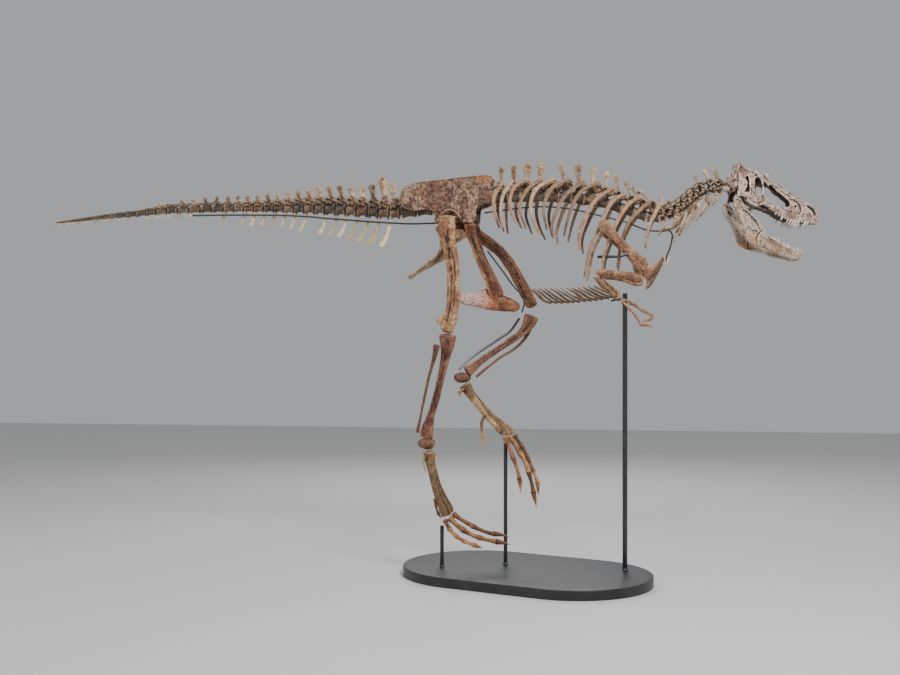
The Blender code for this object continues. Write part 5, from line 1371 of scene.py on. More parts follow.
def segments(path: Rows, count: int, half: float, claw_from: float) -> list[np.ndarray]:
    """Toe or finger bones along a path, then a claw.

    Each bone's radius is half * (1 - 0.28 s) times a factor that falls from SWOLLEN_KNUCKLE at its
    ends to THIN_MIDDLE; the claw thins as 1 - u^1.4 and is deeper than wide.

    Args:
        path: (x, y, z) from the first knuckle to the claw's tip.
        count: bones, the claw included.
        half: radius at the first knuckle.
        claw_from: share of the path where the claw starts.

    Returns:
        One surface per bone.
    """
    line = spline(path, PATH_STEPS)
    even_shares = np.linspace(0, 1, PATH_STEPS)
    marks = np.append(np.linspace(0.0, claw_from, count), 1.0)
    grids = []
    for i, (start, stop) in enumerate(zip(marks, marks[1:])):
        share = np.linspace(start + 0.004, stop - 0.004, 9)
        places = np.stack([np.interp(share, even_shares, line[:, k]) for k in range(3)], axis=1)
        u = np.linspace(0.0, 1.0, 9)
        if i == count - 1:
            size = half * (1.0 - 0.30 * start) * np.clip(1.0 - u**1.4, 0.07, 1.0)
            rows = np.column_stack([places, size * 0.72, size * (1.05 + 0.2 * (1 - u))])
            grids.append(sweep(rows, steps=26, around=16, dome=0.5))
        else:
            factor = THIN_MIDDLE + (SWOLLEN_KNUCKLE - THIN_MIDDLE) * np.abs(2.0 * u - 1.0) ** 2.2
            size = half * (1.0 - 0.28 * share) * factor
            rows = np.column_stack([places, size * 1.04, size])
            grids.append(sweep(rows, steps=26, around=20, dome=0.45, carve=rollers(0.16, 0.70, 0.3, 6)))
    return grids


def shaft_axes(start: np.ndarray, end: np.ndarray) -> tuple[np.ndarray, np.ndarray]:
    """Unit vectors from start to end, and square to that in side view towards the animal's front."""
    ahead = end - start
    ahead /= np.linalg.norm(ahead)
    front = np.array([-ahead[2], 0.0, ahead[0]])
    return ahead, front if front[0] > 0.0 else -front


@dataclass
class Leg:
    """One hind leg. The right one carries the stance, the left one is lifted."""

    side: Side
    thigh: Rows
    shin: Rows
    splint: Rows
    ankle: tuple[Point, Point]
    insteps: Sequence[tuple[Point, Point]]
    instep_bow: Point
    spur: Rows
    hallux: Rows
    toes: dict[str, tuple[Rows, int, float, float]]

    def named(self, bone: str) -> str:
        """The solid of this leg's bone."""
        return f"{bone}_{self.side.name.lower()}"

    def stock(self, seed: int) -> Stock:
        """Empty stock for a bone; the left leg's seed is one more."""
        return Stock(seed + (self.side is Side.LEFT))

    def build(self) -> None:
        """Every bone from the hip down."""
        self.build_thigh()
        self.build_shin()
        self.build_instep()
        for number, (name, (path, count, half, claw_from)) in enumerate(self.toes.items()):
            stock = Stock(130 + number + (10 if self.side is Side.LEFT else 0))
            for grid in segments(path, count, half, claw_from):
                stock.add(grid, tone=float(stock.picker.uniform(0.2, 1.0)))
            stock.piece(self.named(name) + "_bones", FOOT_LOOK, [self.named(name)],
                        Weathering(0.0008, 0.0009, 0.0004, 0.0016), 0.0026)

    def build_thigh(self) -> None:
        """Bowed shaft, ball, the crests below the hip and two knee rollers behind a groove."""
        stock = self.stock(101)
        sign = self.side.value
        path = np.array(self.thigh)

        def knee(share: np.ndarray, angle: np.ndarray) -> np.ndarray:
            """A groove between the rollers, deeper towards the knee."""
            return 1.0 - 0.20 * np.clip(share - 0.88, 0.0, 1.0) / 0.12 * np.exp(-((np.cos(angle)) / 0.35) ** 2)

        stock.add(sweep(self.thigh, steps=70, around=32, dome=0.45, carve=knee), tone=0.5)
        ball = mm((118, 4, 26, 26), (136, 2, 37, 37), (165, 0, 31, 32), (205, -6, 36, 42))
        stock.add(sweep([(HIP_SOCKET_X, sign * out, HIP_SOCKET_Z + up, wide, deep) for out, up, wide, deep in ball],
                        hint=AHEAD, steps=20, around=24), tone=0.5)
        ahead, front = shaft_axes(path[0, :3], path[1, :3])
        start = path[0, :3] + ahead * 0.045 + front * 0.030 + np.array([0.0, sign * 0.012, 0.0])
        stock.add(sweep([(*(start - ahead * 0.02), 0.010, 0.016), (*(start + ahead * 0.05), 0.011, 0.018),
                         (*(start + ahead * 0.11 - front * 0.012), 0.008, 0.010)], steps=16, around=14), tone=0.5)
        fourth = spline(self.thigh, 50)[17:26]
        back = [(*(row[:3] - front * (row[4] * 0.75) + np.array([0.0, -sign * 0.014, 0.0])), 0.007, 0.014)
                for row in fourth[::2]]
        stock.add(sweep(back, steps=16, around=12), tone=0.5)
        end, front = shaft_axes(path[-2, :3], path[-1, :3])
        for offset, size in ((-0.026, 0.026), (0.028, 0.030)):
            spot = path[-1, :3] - end * 0.010 - front * 0.022 + np.array([0.0, sign * offset, 0.0])
            stock.add(sweep([(*(spot - end * 0.045), size * 0.70, size * 0.9), (*spot, size * 0.82, size * 1.05)],
                            steps=10, around=20, dome=0.7), tone=0.5)
        if self.side is Side.RIGHT:
            stock.add(sweep(mm((-548, -256, 1885, 12, 30), (-585, -262, 1865, 10, 26), (-606, -264, 1845, 7, 16)),
                            steps=14, around=16), tone=0.5)
        cuts = ((0.14, 0.60, -0.20, 0.26, 0.009), (0.28, 0.82, 0.28, 0.20, 0.008), (0.58, 0.96, -0.30, 0.20, 0.006),
                (0.08, 0.28, 0.12, 0.18, 0.009))
        stock.piece(self.named("thigh_bone"), THIGH_LOOK if self.side is Side.RIGHT else FAR_THIGH_LOOK,
                    [self.named("femur")], Weathering(0.0026, 0.0020, 0.0008, 0.0045), 0.0044, 2,
                    shape=lambda mesh: groove(mesh, self.thigh, cuts, (0.35, 0.30)))

    def build_shin(self) -> None:
        """Shin bone with its front crest, the splint beside it, and the ankle roller."""
        path = np.array(self.shin)
        down, front = shaft_axes(path[0, :3], path[2, :3])
        stock = self.stock(107)
        stock.add(sweep(self.shin, steps=70, around=28, dome=0.25), tone=0.5)
        crest = [(*(path[0, :3] + front * out + down * step), wide, deep) for out, step, wide, deep in
                 ((0.030, 0.012, 0.014, 0.030), (0.032, 0.060, 0.011, 0.026), (0.020, 0.135, 0.010, 0.016))]
        stock.add(sweep(crest, steps=20, around=16), tone=0.5)
        cuts = ((0.03, 0.45, 0.15, 0.30, 0.009), (0.35, 0.92, -0.25, 0.24, 0.006))
        stock.piece(self.named("shin_bone"), SHIN_LOOK, [self.named("tibia")],
                    Weathering(0.0020, 0.0018, 0.0008, 0.0036), 0.0040, 2,
                    shape=lambda mesh: groove(mesh, self.shin, cuts, (0.40, 0.30)))
        stock = self.stock(109)
        stock.add(sweep(self.splint, steps=60, around=16, dome=0.4), tone=0.4)
        stock.piece(self.named("splint_bone"), SHIN_LOOK, [self.named("fibula")],
                    Weathering(0.0010, 0.0008, 0.0004, 0.0012), 0.0030)
        (x0, y0, z0), (x1, y1, z1) = self.ankle
        stock = self.stock(111)
        middle = 0.5 * (y0 + y1)
        stock.add(sweep([(x0, y0, z0, 0.044, 0.028), (x0, y0 + 0.14 * (y1 - y0), z0, 0.058, 0.038),
                         (0.5 * (x0 + x1), middle, 0.5 * (z0 + z1), 0.046, 0.033),
                         (x1, y1 - 0.14 * (y1 - y0), z1, 0.056, 0.038), (x1, y1, z1, 0.040, 0.026)],
                        hint=AHEAD, steps=30, around=24, dome=0.4), tone=0.5)
        if self.side is Side.RIGHT:
            stock.add(sweep(mm((-700, -128, 952, 40, 36), (-698, -130, 938, 40, 36)), steps=8, around=24, dome=0.3),
                      tone=0.8)
        stock.piece(self.named("ankle_bones"), SHIN_LOOK, [self.named("ankle")],
                    Weathering(0.0014, 0.0012, 0.0004, 0.0016), 0.0034, 2)

    def build_instep(self) -> None:
        """Three long instep bones pressed together, a small splint, and the raised first toe."""
        stock = self.stock(113)
        bow = np.array(self.instep_bow)
        for top, low in self.insteps:
            a, b = np.array(top), np.array(low)
            rows = [(*a, 0.020, 0.043), (*(a + 0.10 * (b - a) + 0.5 * bow), 0.0165, 0.033),
                    (*(a + 0.35 * (b - a) + bow), 0.0140, 0.022), (*(a + 0.65 * (b - a) + bow), 0.0140, 0.020),
                    (*(a + 0.86 * (b - a) + 0.3 * bow), 0.0175, 0.024), (*(a + 0.96 * (b - a)), 0.0200, 0.0275),
                    (*b, 0.0185, 0.0250)]
            stock.add(sweep(rows, steps=60, around=24, dome=0.35, carve=rollers(0.18, 0.88, 0.12, 8)))
        stock.add(sweep(self.spur, steps=20, around=12), tone=0.3)
        stock.piece(self.named("instep_bones"), INSTEP_LOOK, [self.named("metatarsus")],
                    Weathering(0.0014, 0.0012, 0.0005, 0.0020), 0.0034)
        stock = self.stock(115)
        for grid in segments(self.hallux, 3, 0.0135, 0.60):
            stock.add(grid)
        stock.piece(self.named("hallux_bones"), FOOT_LOOK, [self.named("hallux")],
                    Weathering(0.0006, 0.0008, 0.0003, 0.0010), 0.0024)


RIGHT_LEG = Leg(
    side=Side.RIGHT,
    thigh=mm((-550, -213, 2596, 36, 62), (-549, -213, 2500, 37, 59), (-526, -214, 2368, 33, 49),
             (-505, -220, 2237, 31, 46), (-500, -226, 2116, 32, 47), (-502, -232, 1994, 35, 47),
             (-520, -242, 1870, 44, 49), (-540, -250, 1792, 50, 47)),
    shin=mm((-537, -245, 1752, 44, 62), (-542, -243, 1705, 38, 54), (-556, -232, 1605, 26, 35),
            (-583, -215, 1493, 24, 29), (-610, -200, 1384, 23, 27), (-642, -181, 1275, 23, 27),
            (-674, -165, 1180, 25, 28), (-700, -150, 1085, 34, 42), (-710, -141, 1024, 40, 48)),
    splint=mm((-606, -318, 1686, 10, 26), (-618, -306, 1630, 10, 19), (-645, -280, 1545, 9, 13),
              (-675, -256, 1450, 8.5, 11), (-700, -238, 1349, 8.5, 11), (-724, -218, 1254, 8, 10),
              (-748, -200, 1145, 8, 10), (-768, -196, 1058, 9.5, 13)), ankle=mm((-712, -192, 975), (-706, -98, 975)),
    insteps=(mm((-690, -110, 906), (-545, -48, 470)), mm((-690, -134, 906), (-555, -96, 452)),
             mm((-690, -159, 906), (-578, -146, 450))), instep_bow=(-0.020, 0.0, 0.0),
    spur=mm((-708, -168, 892, 10, 12), (-728, -178, 840, 8, 9), (-706, -184, 772, 4, 5)),
    hallux=mm((-664, -60, 556), (-656, -50, 500), (-640, -45, 450), (-608, -42, 406)),
    toes={"toe_inner": (mm((-530, -41, 449), (-432, -22, 385), (-346, -5, 338), (-266, 6, 309), (-193, 14, 300),
                           (-116, 20, 281)), 3, 0.0215, 0.72),
          "toe_middle": (mm((-546, -96, 425), (-472, -96, 360), (-400, -94, 317), (-327, -92, 290), (-254, -90, 273),
                            (-182, -87, 261), (-97, -85, 244)), 4, 0.0235, 0.76),
          "toe_outer": (mm((-574, -153, 420), (-536, -162, 358), (-490, -170, 312), (-439, -176, 281),
                           (-387, -180, 262), (-344, -182, 248), (-289, -182, 229)), 5, 0.0205, 0.78)})

LEFT_LEG = Leg(
    side=Side.LEFT,
    thigh=mm((-560, 213, 2602, 36, 54), (-470, 213, 2560, 37, 49), (-333, 213, 2474, 33, 42),
             (-215, 215, 2380, 31, 40), (-134, 222, 2274, 32, 42), (-68, 235, 2155, 35, 43), (-10, 250, 2043, 44, 46),
             (22, 260, 1985, 48, 45)),
    shin=mm((16, 250, 1898, 42, 52), (-4, 248, 1850, 36, 46), (-50, 240, 1782, 26, 30), (-142, 216, 1712, 23, 26),
            (-215, 193, 1662, 22, 24), (-287, 170, 1612, 22, 24), (-360, 145, 1560, 25, 28), (-425, 122, 1506, 33, 38),
            (-448, 113, 1488, 37, 42)),
    splint=mm((8, 325, 1842, 10, 22), (-30, 305, 1745, 9, 14), (-110, 278, 1658, 8.5, 11), (-217, 240, 1590, 8, 10),
              (-310, 208, 1515, 8, 10), (-390, 180, 1448, 9.5, 11)), ankle=mm((-483, 152, 1442), (-488, 58, 1444)),
    insteps=(mm((-464, 77, 1385), (-168, 40, 1034)), mm((-464, 101, 1385), (-142, 86, 1032)),
             mm((-464, 126, 1385), (-116, 130, 1038))), instep_bow=(-0.012, 0.0, -0.010),
    spur=mm((-470, 52, 1358, 10, 12), (-498, 46, 1335, 10, 13), (-490, 44, 1308, 6, 7)),
    hallux=mm((-302, 24, 1172), (-328, 20, 1120), (-328, 18, 1060), (-315, 18, 985), (-338, 20, 910)),
    toes={"toe_inner": (mm((-158, 37, 1011), (-123, 34, 930), (-93, 32, 843), (-63, 30, 757), (-48, 28, 684),
                           (-41, 26, 593)), 3, 0.0205, 0.72),
          "toe_middle": (mm((-128, 87, 1008), (-61, 87, 905), (-9, 87, 805), (28, 87, 687), (50, 87, 584),
                            (71, 87, 478)), 4, 0.0225, 0.76),
          "toe_outer": (mm((-98, 133, 1017), (-28, 138, 905), (30, 144, 776), (67, 148, 680), (78, 152, 563)), 5,
                        0.0195, 0.78)})


# ---------------------------------------------------------------- shoulders, arms and belly ribs
@dataclass
class Arm:
    """Shoulder blade, upper arm, forearm and two-fingered hand of one side, worked out on the left."""

    side: Side
    blade_rows: Rows = mm((548, 284, 2550, 6, 22), (562, 284, 2533, 7, 40), (600, 283, 2492, 8, 36),
                          (660, 279, 2430, 8, 28), (720, 275, 2372, 9, 25), (785, 268, 2304, 11, 34),
                          (830, 262, 2252, 12, 56))
    plate_rows: Rows = mm((835, 258, 2245, 15, 40), (868, 246, 2216, 13, 40), (895, 226, 2202, 12, 58),
                          (912, 206, 2200, 13, 108), (928, 165, 2196, 11, 117), (935, 132, 2192, 8, 98))

    def bone(self, name: str, node: str, grids: Sequence[np.ndarray], voxel: float, seed: int, wear: Weathering,
             look: Finish = ARM_LOOK) -> None:
        """Fuse one bone of the arm, mirrored to the right where needed."""
        stock = Stock(seed + (150 if self.side is Side.RIGHT else 160))
        for grid in grids:
            stock.add(mirror(grid) if self.side is Side.RIGHT else grid, tone=0.62)
        side = self.side.name.lower()
        stock.piece(f"{name}_{side}", look, [f"{node}_{side}"], wear, voxel)

    def build(self) -> None:
        """All five bones."""
        shoulder = [sweep(self.blade_rows, steps=50, around=24, power=2.6),
                    sweep(self.plate_rows, hint=(0.878, 0.0, -0.478), steps=40, around=40, power=2.4, dome=0.15),
                    sweep(mm((790, 262, 2262, 20, 30), (812, 268, 2222, 22, 30), (822, 268, 2190, 16, 20)), steps=12,
                          around=18)]
        self.bone("shoulder", "scapula", shoulder, 0.0034, 0, Weathering(0.0016, 0.0014, 0.0005, 0.0024), SHOULDER_LOOK)
        upper = sweep(mm((826, 292, 2143, 16, 22), (800, 296, 2150, 19, 31), (770, 298, 2158, 19, 33),
                         (735, 300, 2168, 17, 29), (650, 304, 2184, 15, 21), (590, 306, 2190, 16, 20),
                         (545, 306, 2193, 18, 22), (526, 306, 2193, 16, 17)), steps=50, around=20)
        self.bone("upper_arm", "humerus", [upper], 0.0028, 1, Weathering(0.0012, 0.0010, 0.0004, 0.0016))
        ulna = sweep(mm((512, 314, 2162, 11, 17), (530, 314, 2138, 12, 17), (580, 308, 2090, 9.5, 13.5),
                        (636, 300, 2034, 10, 13.5)), steps=36, around=16)
        fine = Weathering(0.0008, 0.0008, 0.0003, 0.0010)
        self.bone("ulna_bone", "ulna", [ulna], 0.0026, 2, fine)
        radius = sweep([(0.562, 0.284, 2.152, 0.0105, 0.0125), (0.590, 0.280, 2.125, 0.0095, 0.0105),
                        (0.630, 0.275, 2.085, 0.0088, 0.0098), (0.669, 0.270, 2.051, 0.0105, 0.0115)],
                       steps=36, around=16)
        self.bone("radius_bone", "radius", [radius], 0.0026, 3, fine)
        wrist = [sweep(mm((668, 290, 2024, 11, 10), (688, 280, 2012, 12, 11)), steps=8, around=16, dome=0.6),
                 sweep(mm((676, 268, 2020, 9, 9), (696, 270, 2000, 10, 10)), steps=8, around=16, dome=0.6)]
        first = segments(mm((690, 288, 2000), (730, 292, 1958), (772, 296, 1916), (802, 294, 1872), (826, 292, 1830)),
                         4, 0.0120, 1.0 - 0.02)
        second = segments(mm((694, 278, 2006), (730, 268, 1994), (768, 258, 1982), (835, 252, 1936), (908, 250, 1894)),
                          4, 0.0120, 1.0 - 0.02)
        claws = [sweep(mm((822, 292, 1834, 7.5, 11), (850, 291, 1830, 6.5, 9.5), (885, 290, 1826, 4.5, 6),
                          (911, 290, 1813, 1.6, 1.8)), steps=24, around=14),
                 sweep(mm((908, 250, 1888, 7, 11), (892, 250, 1870, 6.5, 9.5), (862, 250, 1862, 4.5, 6),
                          (834, 250, 1861, 1.6, 1.8)), steps=24, around=14)]
        self.bone("hand_bones", "hand", wrist + first[:-1] + second[:-1] + claws, 0.0022, 4,
                  Weathering(0.0005, 0.0006, 0.0003, 0.0008))


@dataclass
class Belly:
    """Wishbone, and the basket of slender belly ribs that overlap along the middle line."""

    count: int = 13
    first: float = 0.155
    step: float = 0.041

    def build(self) -> None:
        """Each belly rib is two middle rods and two outer rods lying beside them."""
        stock = Stock(171)
        for number in range(self.count):
            share = number / (self.count - 1)
            x = self.first + self.step * number
            z = 1.994 + 0.045 * share * share
            rise, back = 0.103 - 0.035 * share, 0.125 + 0.03 * share
            span = 0.148 - 0.03 * abs(share - 0.4)
            wobble = stock.picker.uniform(-0.006, 0.006, 3)
            inner = sweep([(x + 0.022, -0.012, z, 0.0080, 0.0075), (x + 0.006, 0.010, z + 0.002, 0.0080, 0.0075),
                           (x - 0.35 * back, 0.40 * span, z + 0.28 * rise + wobble[0], 0.0075, 0.007),
                           (x - 0.66 * back, 0.72 * span, z + 0.58 * rise + wobble[1], 0.0040, 0.004)],
                          hint=AHEAD, steps=36, around=10)
            outer = sweep([(x - 0.24 * back + 0.006, 0.28 * span, z + 0.16 * rise, 0.0036, 0.0036),
                           (x - 0.55 * back + 0.007, 0.62 * span, z + 0.47 * rise + wobble[1], 0.0072, 0.0066),
                           (x - 0.99 * back, 0.985 * span, z + 0.98 * rise + wobble[2] * 0.3, 0.0044, 0.004)],
                          hint=AHEAD, steps=36, around=10)
            tone = float(stock.picker.uniform(0.0, 1.0))
            stock.add(inner, outer, tone=tone)
            stock.add(mirror(inner) + np.array([0.006, 0.0, -0.004]), mirror(outer), tone=1.0 - tone)
        stock.piece("belly_basket", BELLY_LOOK, ["belly_ribs"], Weathering(0.0008, 0.0006, 0.0003, 0.0006))
        stock = Stock(175)
        stock.add(sweep(mm((985, -85, 2329, 4, 5), (990, -55, 2292, 5, 6.5), (1000, -15, 2256, 5.5, 7.2),
                           (1004, 12, 2256, 5.5, 7.2), (1014, 50, 2284, 5, 6.5), (1029, 85, 2319, 4, 5)), hint=AHEAD,
                        steps=60, around=14), tone=0.8)
        stock.piece("wishbone", CHEVRON_LOOK, ["furcula"], Weathering(0.0006, 0.0005, 0.0002, 0.0005))


# ---------------------------------------------------------------- head
def closed_blend(corners: int, around: int) -> np.ndarray:
    """Weights (around, corners) of a closed cubic through evenly numbered corners, slopes from neighbours."""
    u = np.arange(around) * corners / around
    i = np.floor(u).astype(int)
    t = u - i
    weights = np.zeros((around, corners))
    parts = (-0.5 * t + t**2 - 0.5 * t**3, 1 - 2.5 * t**2 + 1.5 * t**3,
             0.5 * t + 2 * t**2 - 1.5 * t**3, -0.5 * t**2 + 0.5 * t**3)
    for k, part in enumerate(parts):
        weights[np.arange(around), (i + k - 1) % corners] += part
    return weights


def window(outline: Rows, low: float, high: float) -> np.ndarray:
    """Closed cutter whose outline in (x, z) runs straight along y from low to high."""
    flat = np.asarray(outline, float)
    line = spline(np.column_stack([flat[:, 0], np.zeros(len(flat)), flat[:, 1]]), CUTTER_AROUND, closed=True)
    y = np.linspace(low, high, CUTTER_RINGS)
    grid = np.repeat(line[None, :, :], CUTTER_RINGS, axis=0)
    grid[..., 1] = y[:, None]
    area = float(np.sum(line[:, 0] * np.roll(line[:, 2], -1) - np.roll(line[:, 0], -1) * line[:, 2]))
    return grid if area < 0.0 else grid[::-1]


def score(mesh: bpy.types.Mesh, lines: Sequence[Rows], width: float, depth: float) -> None:
    """Sink narrow grooves and pits: depth * exp(-(d / width)^2), with d the distance in (x, z) from the lines."""
    points, normals = read_points(mesh), normals_of(mesh)
    push = np.zeros(len(points))
    for line in lines:
        steps = np.linspace(0.0, len(line) - 1.0, 12 * (len(line) - 1) + 1)
        mark = np.column_stack([np.interp(steps, np.arange(len(line)), np.asarray(line)[:, k]) for k in (0, 1)])
        gap = np.min(np.hypot(points[:, :1] - mark[None, :, 0], points[:, 2:] - mark[None, :, 1]), axis=1)
        push = np.maximum(push, depth * np.exp(-(gap / width) ** 2))
    push *= np.clip(np.abs(points[:, 1]) / 0.02 - 0.3, 0.0, 1.0)
    write_points(mesh, points - normals * push[:, None])


def fang(x: float, y: float, root: float, length: float, half: float, lean: float) -> np.ndarray:
    """Tooth: a flattened blade whose centre bends back as lean |length| u^1.6, thinning as (1 - u^1.7)."""
    u = np.linspace(-0.25, 1.0, 12)
    thin = np.clip(1.0 - np.clip(u, 0.0, 1.0) ** 1.7, 0.05, 1.0)
    rows = np.column_stack([x - lean * abs(length) * np.clip(u, 0, 1) ** 1.6, np.full(12, y), root + length * u,
                            half * 0.58 * thin, half * thin])
    return sweep(rows, steps=14, around=12, dome=0.3)


SKULL_PLACE = (Matrix.Translation((1.43, 0.03 + MIDPLANE_Y, 2.772)) @ Matrix.Rotation(math.radians(14.0), 4, "Z")
               @ Matrix.Rotation(math.radians(15.0), 4, "Y") @ Matrix.Rotation(math.radians(-8.0), 4, "X"))
JAW_PLACE = (SKULL_PLACE @ Matrix.Translation((0.055, 0.0, -0.046))
             @ Matrix.Rotation(math.radians(28.0), 4, "Y"))


@dataclass
class Skull:
    """The skull about its neck joint: x to the snout, y to its left, z up."""

    # x, top, bottom, half widths at the top, middle and bottom
    stations: Rows = mm((-6, 150, 45, 46, 60, 45), (30, 196, 0, 58, 104, 88), (62, 206, -36, 60, 112, 104),
                        (125, 196, -60, 60, 114, 104), (185, 188, -70, 56, 100, 96), (232, 184, -58, 52, 86, 82),
                        (280, 170, -52, 36, 74, 72), (343, 154, -62, 28, 63, 63), (400, 137, -82, 23, 57, 58),
                        (470, 115, -84, 21, 52, 54), (550, 94, -72, 19, 47, 49), (620, 76, -59, 16, 40, 41),
                        (662, 46, -53, 12, 28, 29), (685, -8, -47, 5, 12, 13))
    orbit: Rows = mm((158, 136), (187, 150), (203, 126), (215, 75), (222, 28), (184, 16), (161, 36), (149, 85))
    snout_window: Rows = mm((222, 130), (233, 68), (246, 16), (272, 14), (301, -1), (320, -12), (350, -8), (378, -13),
                            (415, -10), (446, 8), (453, 30), (441, 49), (407, 67), (375, 83), (334, 98), (314, 114),
                            (290, 129), (268, 122), (244, 124))
    rear_window: Rows = mm((92, 126), (110, 68), (121, 30), (125, 2), (100, -2), (80, -6), (92, 15), (96, 45),
                           (92, 72), (80, 88), (74, 104))
    nostril: Rows = mm((574, 55), (596, 63), (622, 57), (647, 42), (663, 18), (663, -3), (652, 0), (622, 17),
                       (595, 34))
    # Raised bars on each cheek: (x, z, half width) along each.
    bars: Sequence[Rows] = (
        mm((104, 190, 10), (116, 150, 9), (126, 100, 8), (136, 55, 7), (146, 12, 8), (160, -16, 7)),
        mm((146, 180, 8), (138, 150, 8), (130, 112, 6)),
        mm((204, 166, 9), (210, 132, 7), (220, 90, 5.5), (229, 50, 5.5), (237, 14, 7), (244, -14, 7)),
        mm((236, 158, 7), (252, 130, 5.5), (267, 106, 3.5)),
        mm((60, -6, 7), (44, 16, 6), (37, 48, 6), (43, 81, 7), (62, 96, 7), (81, 80, 6), (88, 50, 5), (84, 18, 5),
           (72, -4, 5)), mm((54, -26, 8), (90, -22, 7), (128, -14, 8), (166, -20, 8), (200, 2, 6), (230, -4, 7)),
        mm((130, -48, 7), (168, -62, 9), (198, -62, 11), (226, -48, 8), (252, -26, 6)),
        mm((244, -30, 8), (284, -30, 8), (326, -36, 8), (364, -48, 5)),
        mm((566, 83, 6), (606, 74, 6), (644, 56, 7), (670, 26, 8), (680, -10, 8)),
        mm((286, 140, 6), (340, 112, 6), (396, 86, 6), (448, 66, 5)),
        mm((552, 60, 5), (582, 26, 6), (620, 2, 6), (650, -12, 6)))
    # Bars of one side, (x, y, z, half width, half depth): crest knobs, wing, rear edge, brow horns, floor.
    studs: Sequence[tuple[Rows, dict[str, object]]] = ((mm(
        (18, 50, 200, 9, 9), (16, 47, 216, 7, 7), (14, 43, 226, 5, 5)), dict(steps=10, around=14)),
                                                       (mm(
                                                           (44, 40, 200, 8, 10), (48, 38, 218, 6, 8),
                                                           (52, 36, 229, 4, 5)), dict(steps=10, around=14)),
                                                       (mm(
                                                           (30, 34, 110, 12, 30), (14, 72, 98, 10, 27),
                                                           (2, 100, 86, 8, 18)), dict(hint=AHEAD, steps=16,
                                                                                      around=20)),
                                                       (mm(
                                                           (52, 90, 120, 10, 18), (52, 93, 50, 11, 18),
                                                           (54, 95, -10, 17, 14), (54, 96, -36, 22, 11)),
                                                        dict(steps=20, around=24)),
                                                       (mm(
                                                           (252, 44, 160, 10, 15), (236, 52, 180, 11, 16),
                                                           (224, 55, 188, 7, 10)), dict(steps=14, around=18,
                                                                                        dome=0.8)),
                                                       (mm(
                                                           (146, 68, 176, 10, 12), (168, 73, 166, 10, 12),
                                                           (178, 76, 152, 6, 9)), dict(steps=14, around=18, dome=0.8)),
                                                       (mm(
                                                           (60, 28, 44, 7, 12), (150, 44, -20, 6, 14),
                                                           (240, 40, -40, 5, 14), (330, 30, -46, 5, 10)),
                                                        dict(steps=24, around=14)))
    # x, length from the gum of the teeth on each side
    teeth: Rows = mm((362, 20), (388, 14), (414, 34), (438, 16), (461, 44), (482, 52), (503, 60), (523, 68), (543, 48),
                     (566, 18), (590, 48), (612, 34), (640, 22))

    def __post_init__(self) -> None:
        """Work out a fine table of the stations."""
        self.table = spline(self.stations, TABLE_STEPS)

    def cheek(self, x: np.ndarray | float, z: np.ndarray | float) -> np.ndarray | float:
        """Distance of the outer skin from the middle plane at (x, z), straight between five levels."""
        top, low, at_top, at_middle, at_low = columns(self.table, x)
        up = (z - low) / (top - low)
        levels = (0.10, 0.28, 0.50, 0.76, 0.93)
        widths = (at_low, 0.5 * (at_low + at_middle), at_middle, 0.5 * (at_top + at_middle), at_top)
        half = at_low
        for k in range(4):
            half = half + (widths[k + 1] - widths[k]) * np.clip((up - levels[k]) / (levels[k + 1] - levels[k]), 0, 1)
        return half

    def shell(self, inset: float, first: float, last: float, rings: int, around: int, drop: float = 0.0) -> np.ndarray:
        """Skull or its hollow: closed cubic sections through sixteen corners set by the stations.

        Args:
            inset: how far inside the outer skin.
            first: x where it starts.
            last: x where it ends.
            rings: sections.
            around: points in a section.
            drop: how far its floor is lowered behind x = 0.29.

        Returns:
            A closed grid, its sides sunk by 6 mm in an oval field round the snout window.
        """
        x = np.linspace(first, last, rings)
        top, low, at_top, at_middle, at_low = columns(self.table, x)
        top = top - 1.3 * inset
        low = low + inset - drop * np.clip((0.315 - x) / 0.04, 0.0, 1.0)
        at_top, at_middle, at_low = (np.maximum(v - inset, 0.003) for v in (at_top, at_middle, at_low))
        tall = top - low
        half = [(0.0 * x, top), (0.72 * at_top, top - 0.004), (at_top, top - 0.07 * tall),
                (0.5 * (at_top + at_middle) + 0.002, top - 0.24 * tall), (at_middle, low + 0.50 * tall),
                (0.5 * (at_middle + at_low), low + 0.28 * tall), (at_low, low + 0.10 * tall),
                (0.72 * at_low, low), (0.0 * x, low + 0.05 * tall)]
        ring = half + [(-y, z) for y, z in half[-2:0:-1]]
        corners = np.stack([np.stack(pair, axis=-1) for pair in ring], axis=1)
        flat = np.einsum("mk,rkc->rmc", closed_blend(len(ring), around), corners)
        y, z = flat[..., 0], flat[..., 1]
        x = np.repeat(x[:, None], around, axis=1)
        field_size = np.hypot((x - 0.395) / 0.150, (z - 0.044 + 0.30 * (x - 0.395)) / 0.068)
        sunk = np.clip((1.06 - field_size) / 0.13, 0.0, 1.0)
        y = y - np.sign(y) * 0.006 * sunk * sunk * (3 - 2 * sunk) * np.clip(np.abs(y) / 0.02 - 1.0, 0.0, 1.0)
        return np.stack([x, y, z], axis=-1)[:, ::-1]

    def cutters(self) -> list[np.ndarray]:
        """The hollow inside, the windows through both cheeks and the two openings in the roof."""
        cuts = [self.shell(0.0085, 0.034, 0.640, 60, 64, drop=0.030), window(self.orbit, -0.2, 0.2),
                window(self.snout_window, -0.2, 0.2), window(self.nostril, -0.2, 0.2)]
        for side in Side:
            near, far = sorted((side.value * 0.050, side.value * 0.2))
            cuts.append(window(self.rear_window, near, far))
            cuts.append(sweep([(0.495, side.value * 0.02, 0.025, 0.009, 0.013),
                               (0.495, side.value * 0.10, 0.025, 0.009, 0.013)], AHEAD, 4, 16))
            cuts.append(sweep([(0.084, side.value * 0.040, 0.260, 0.022, 0.028),
                               (0.086, side.value * 0.042, 0.150, 0.020, 0.025)], steps=8, around=24))
        return cuts

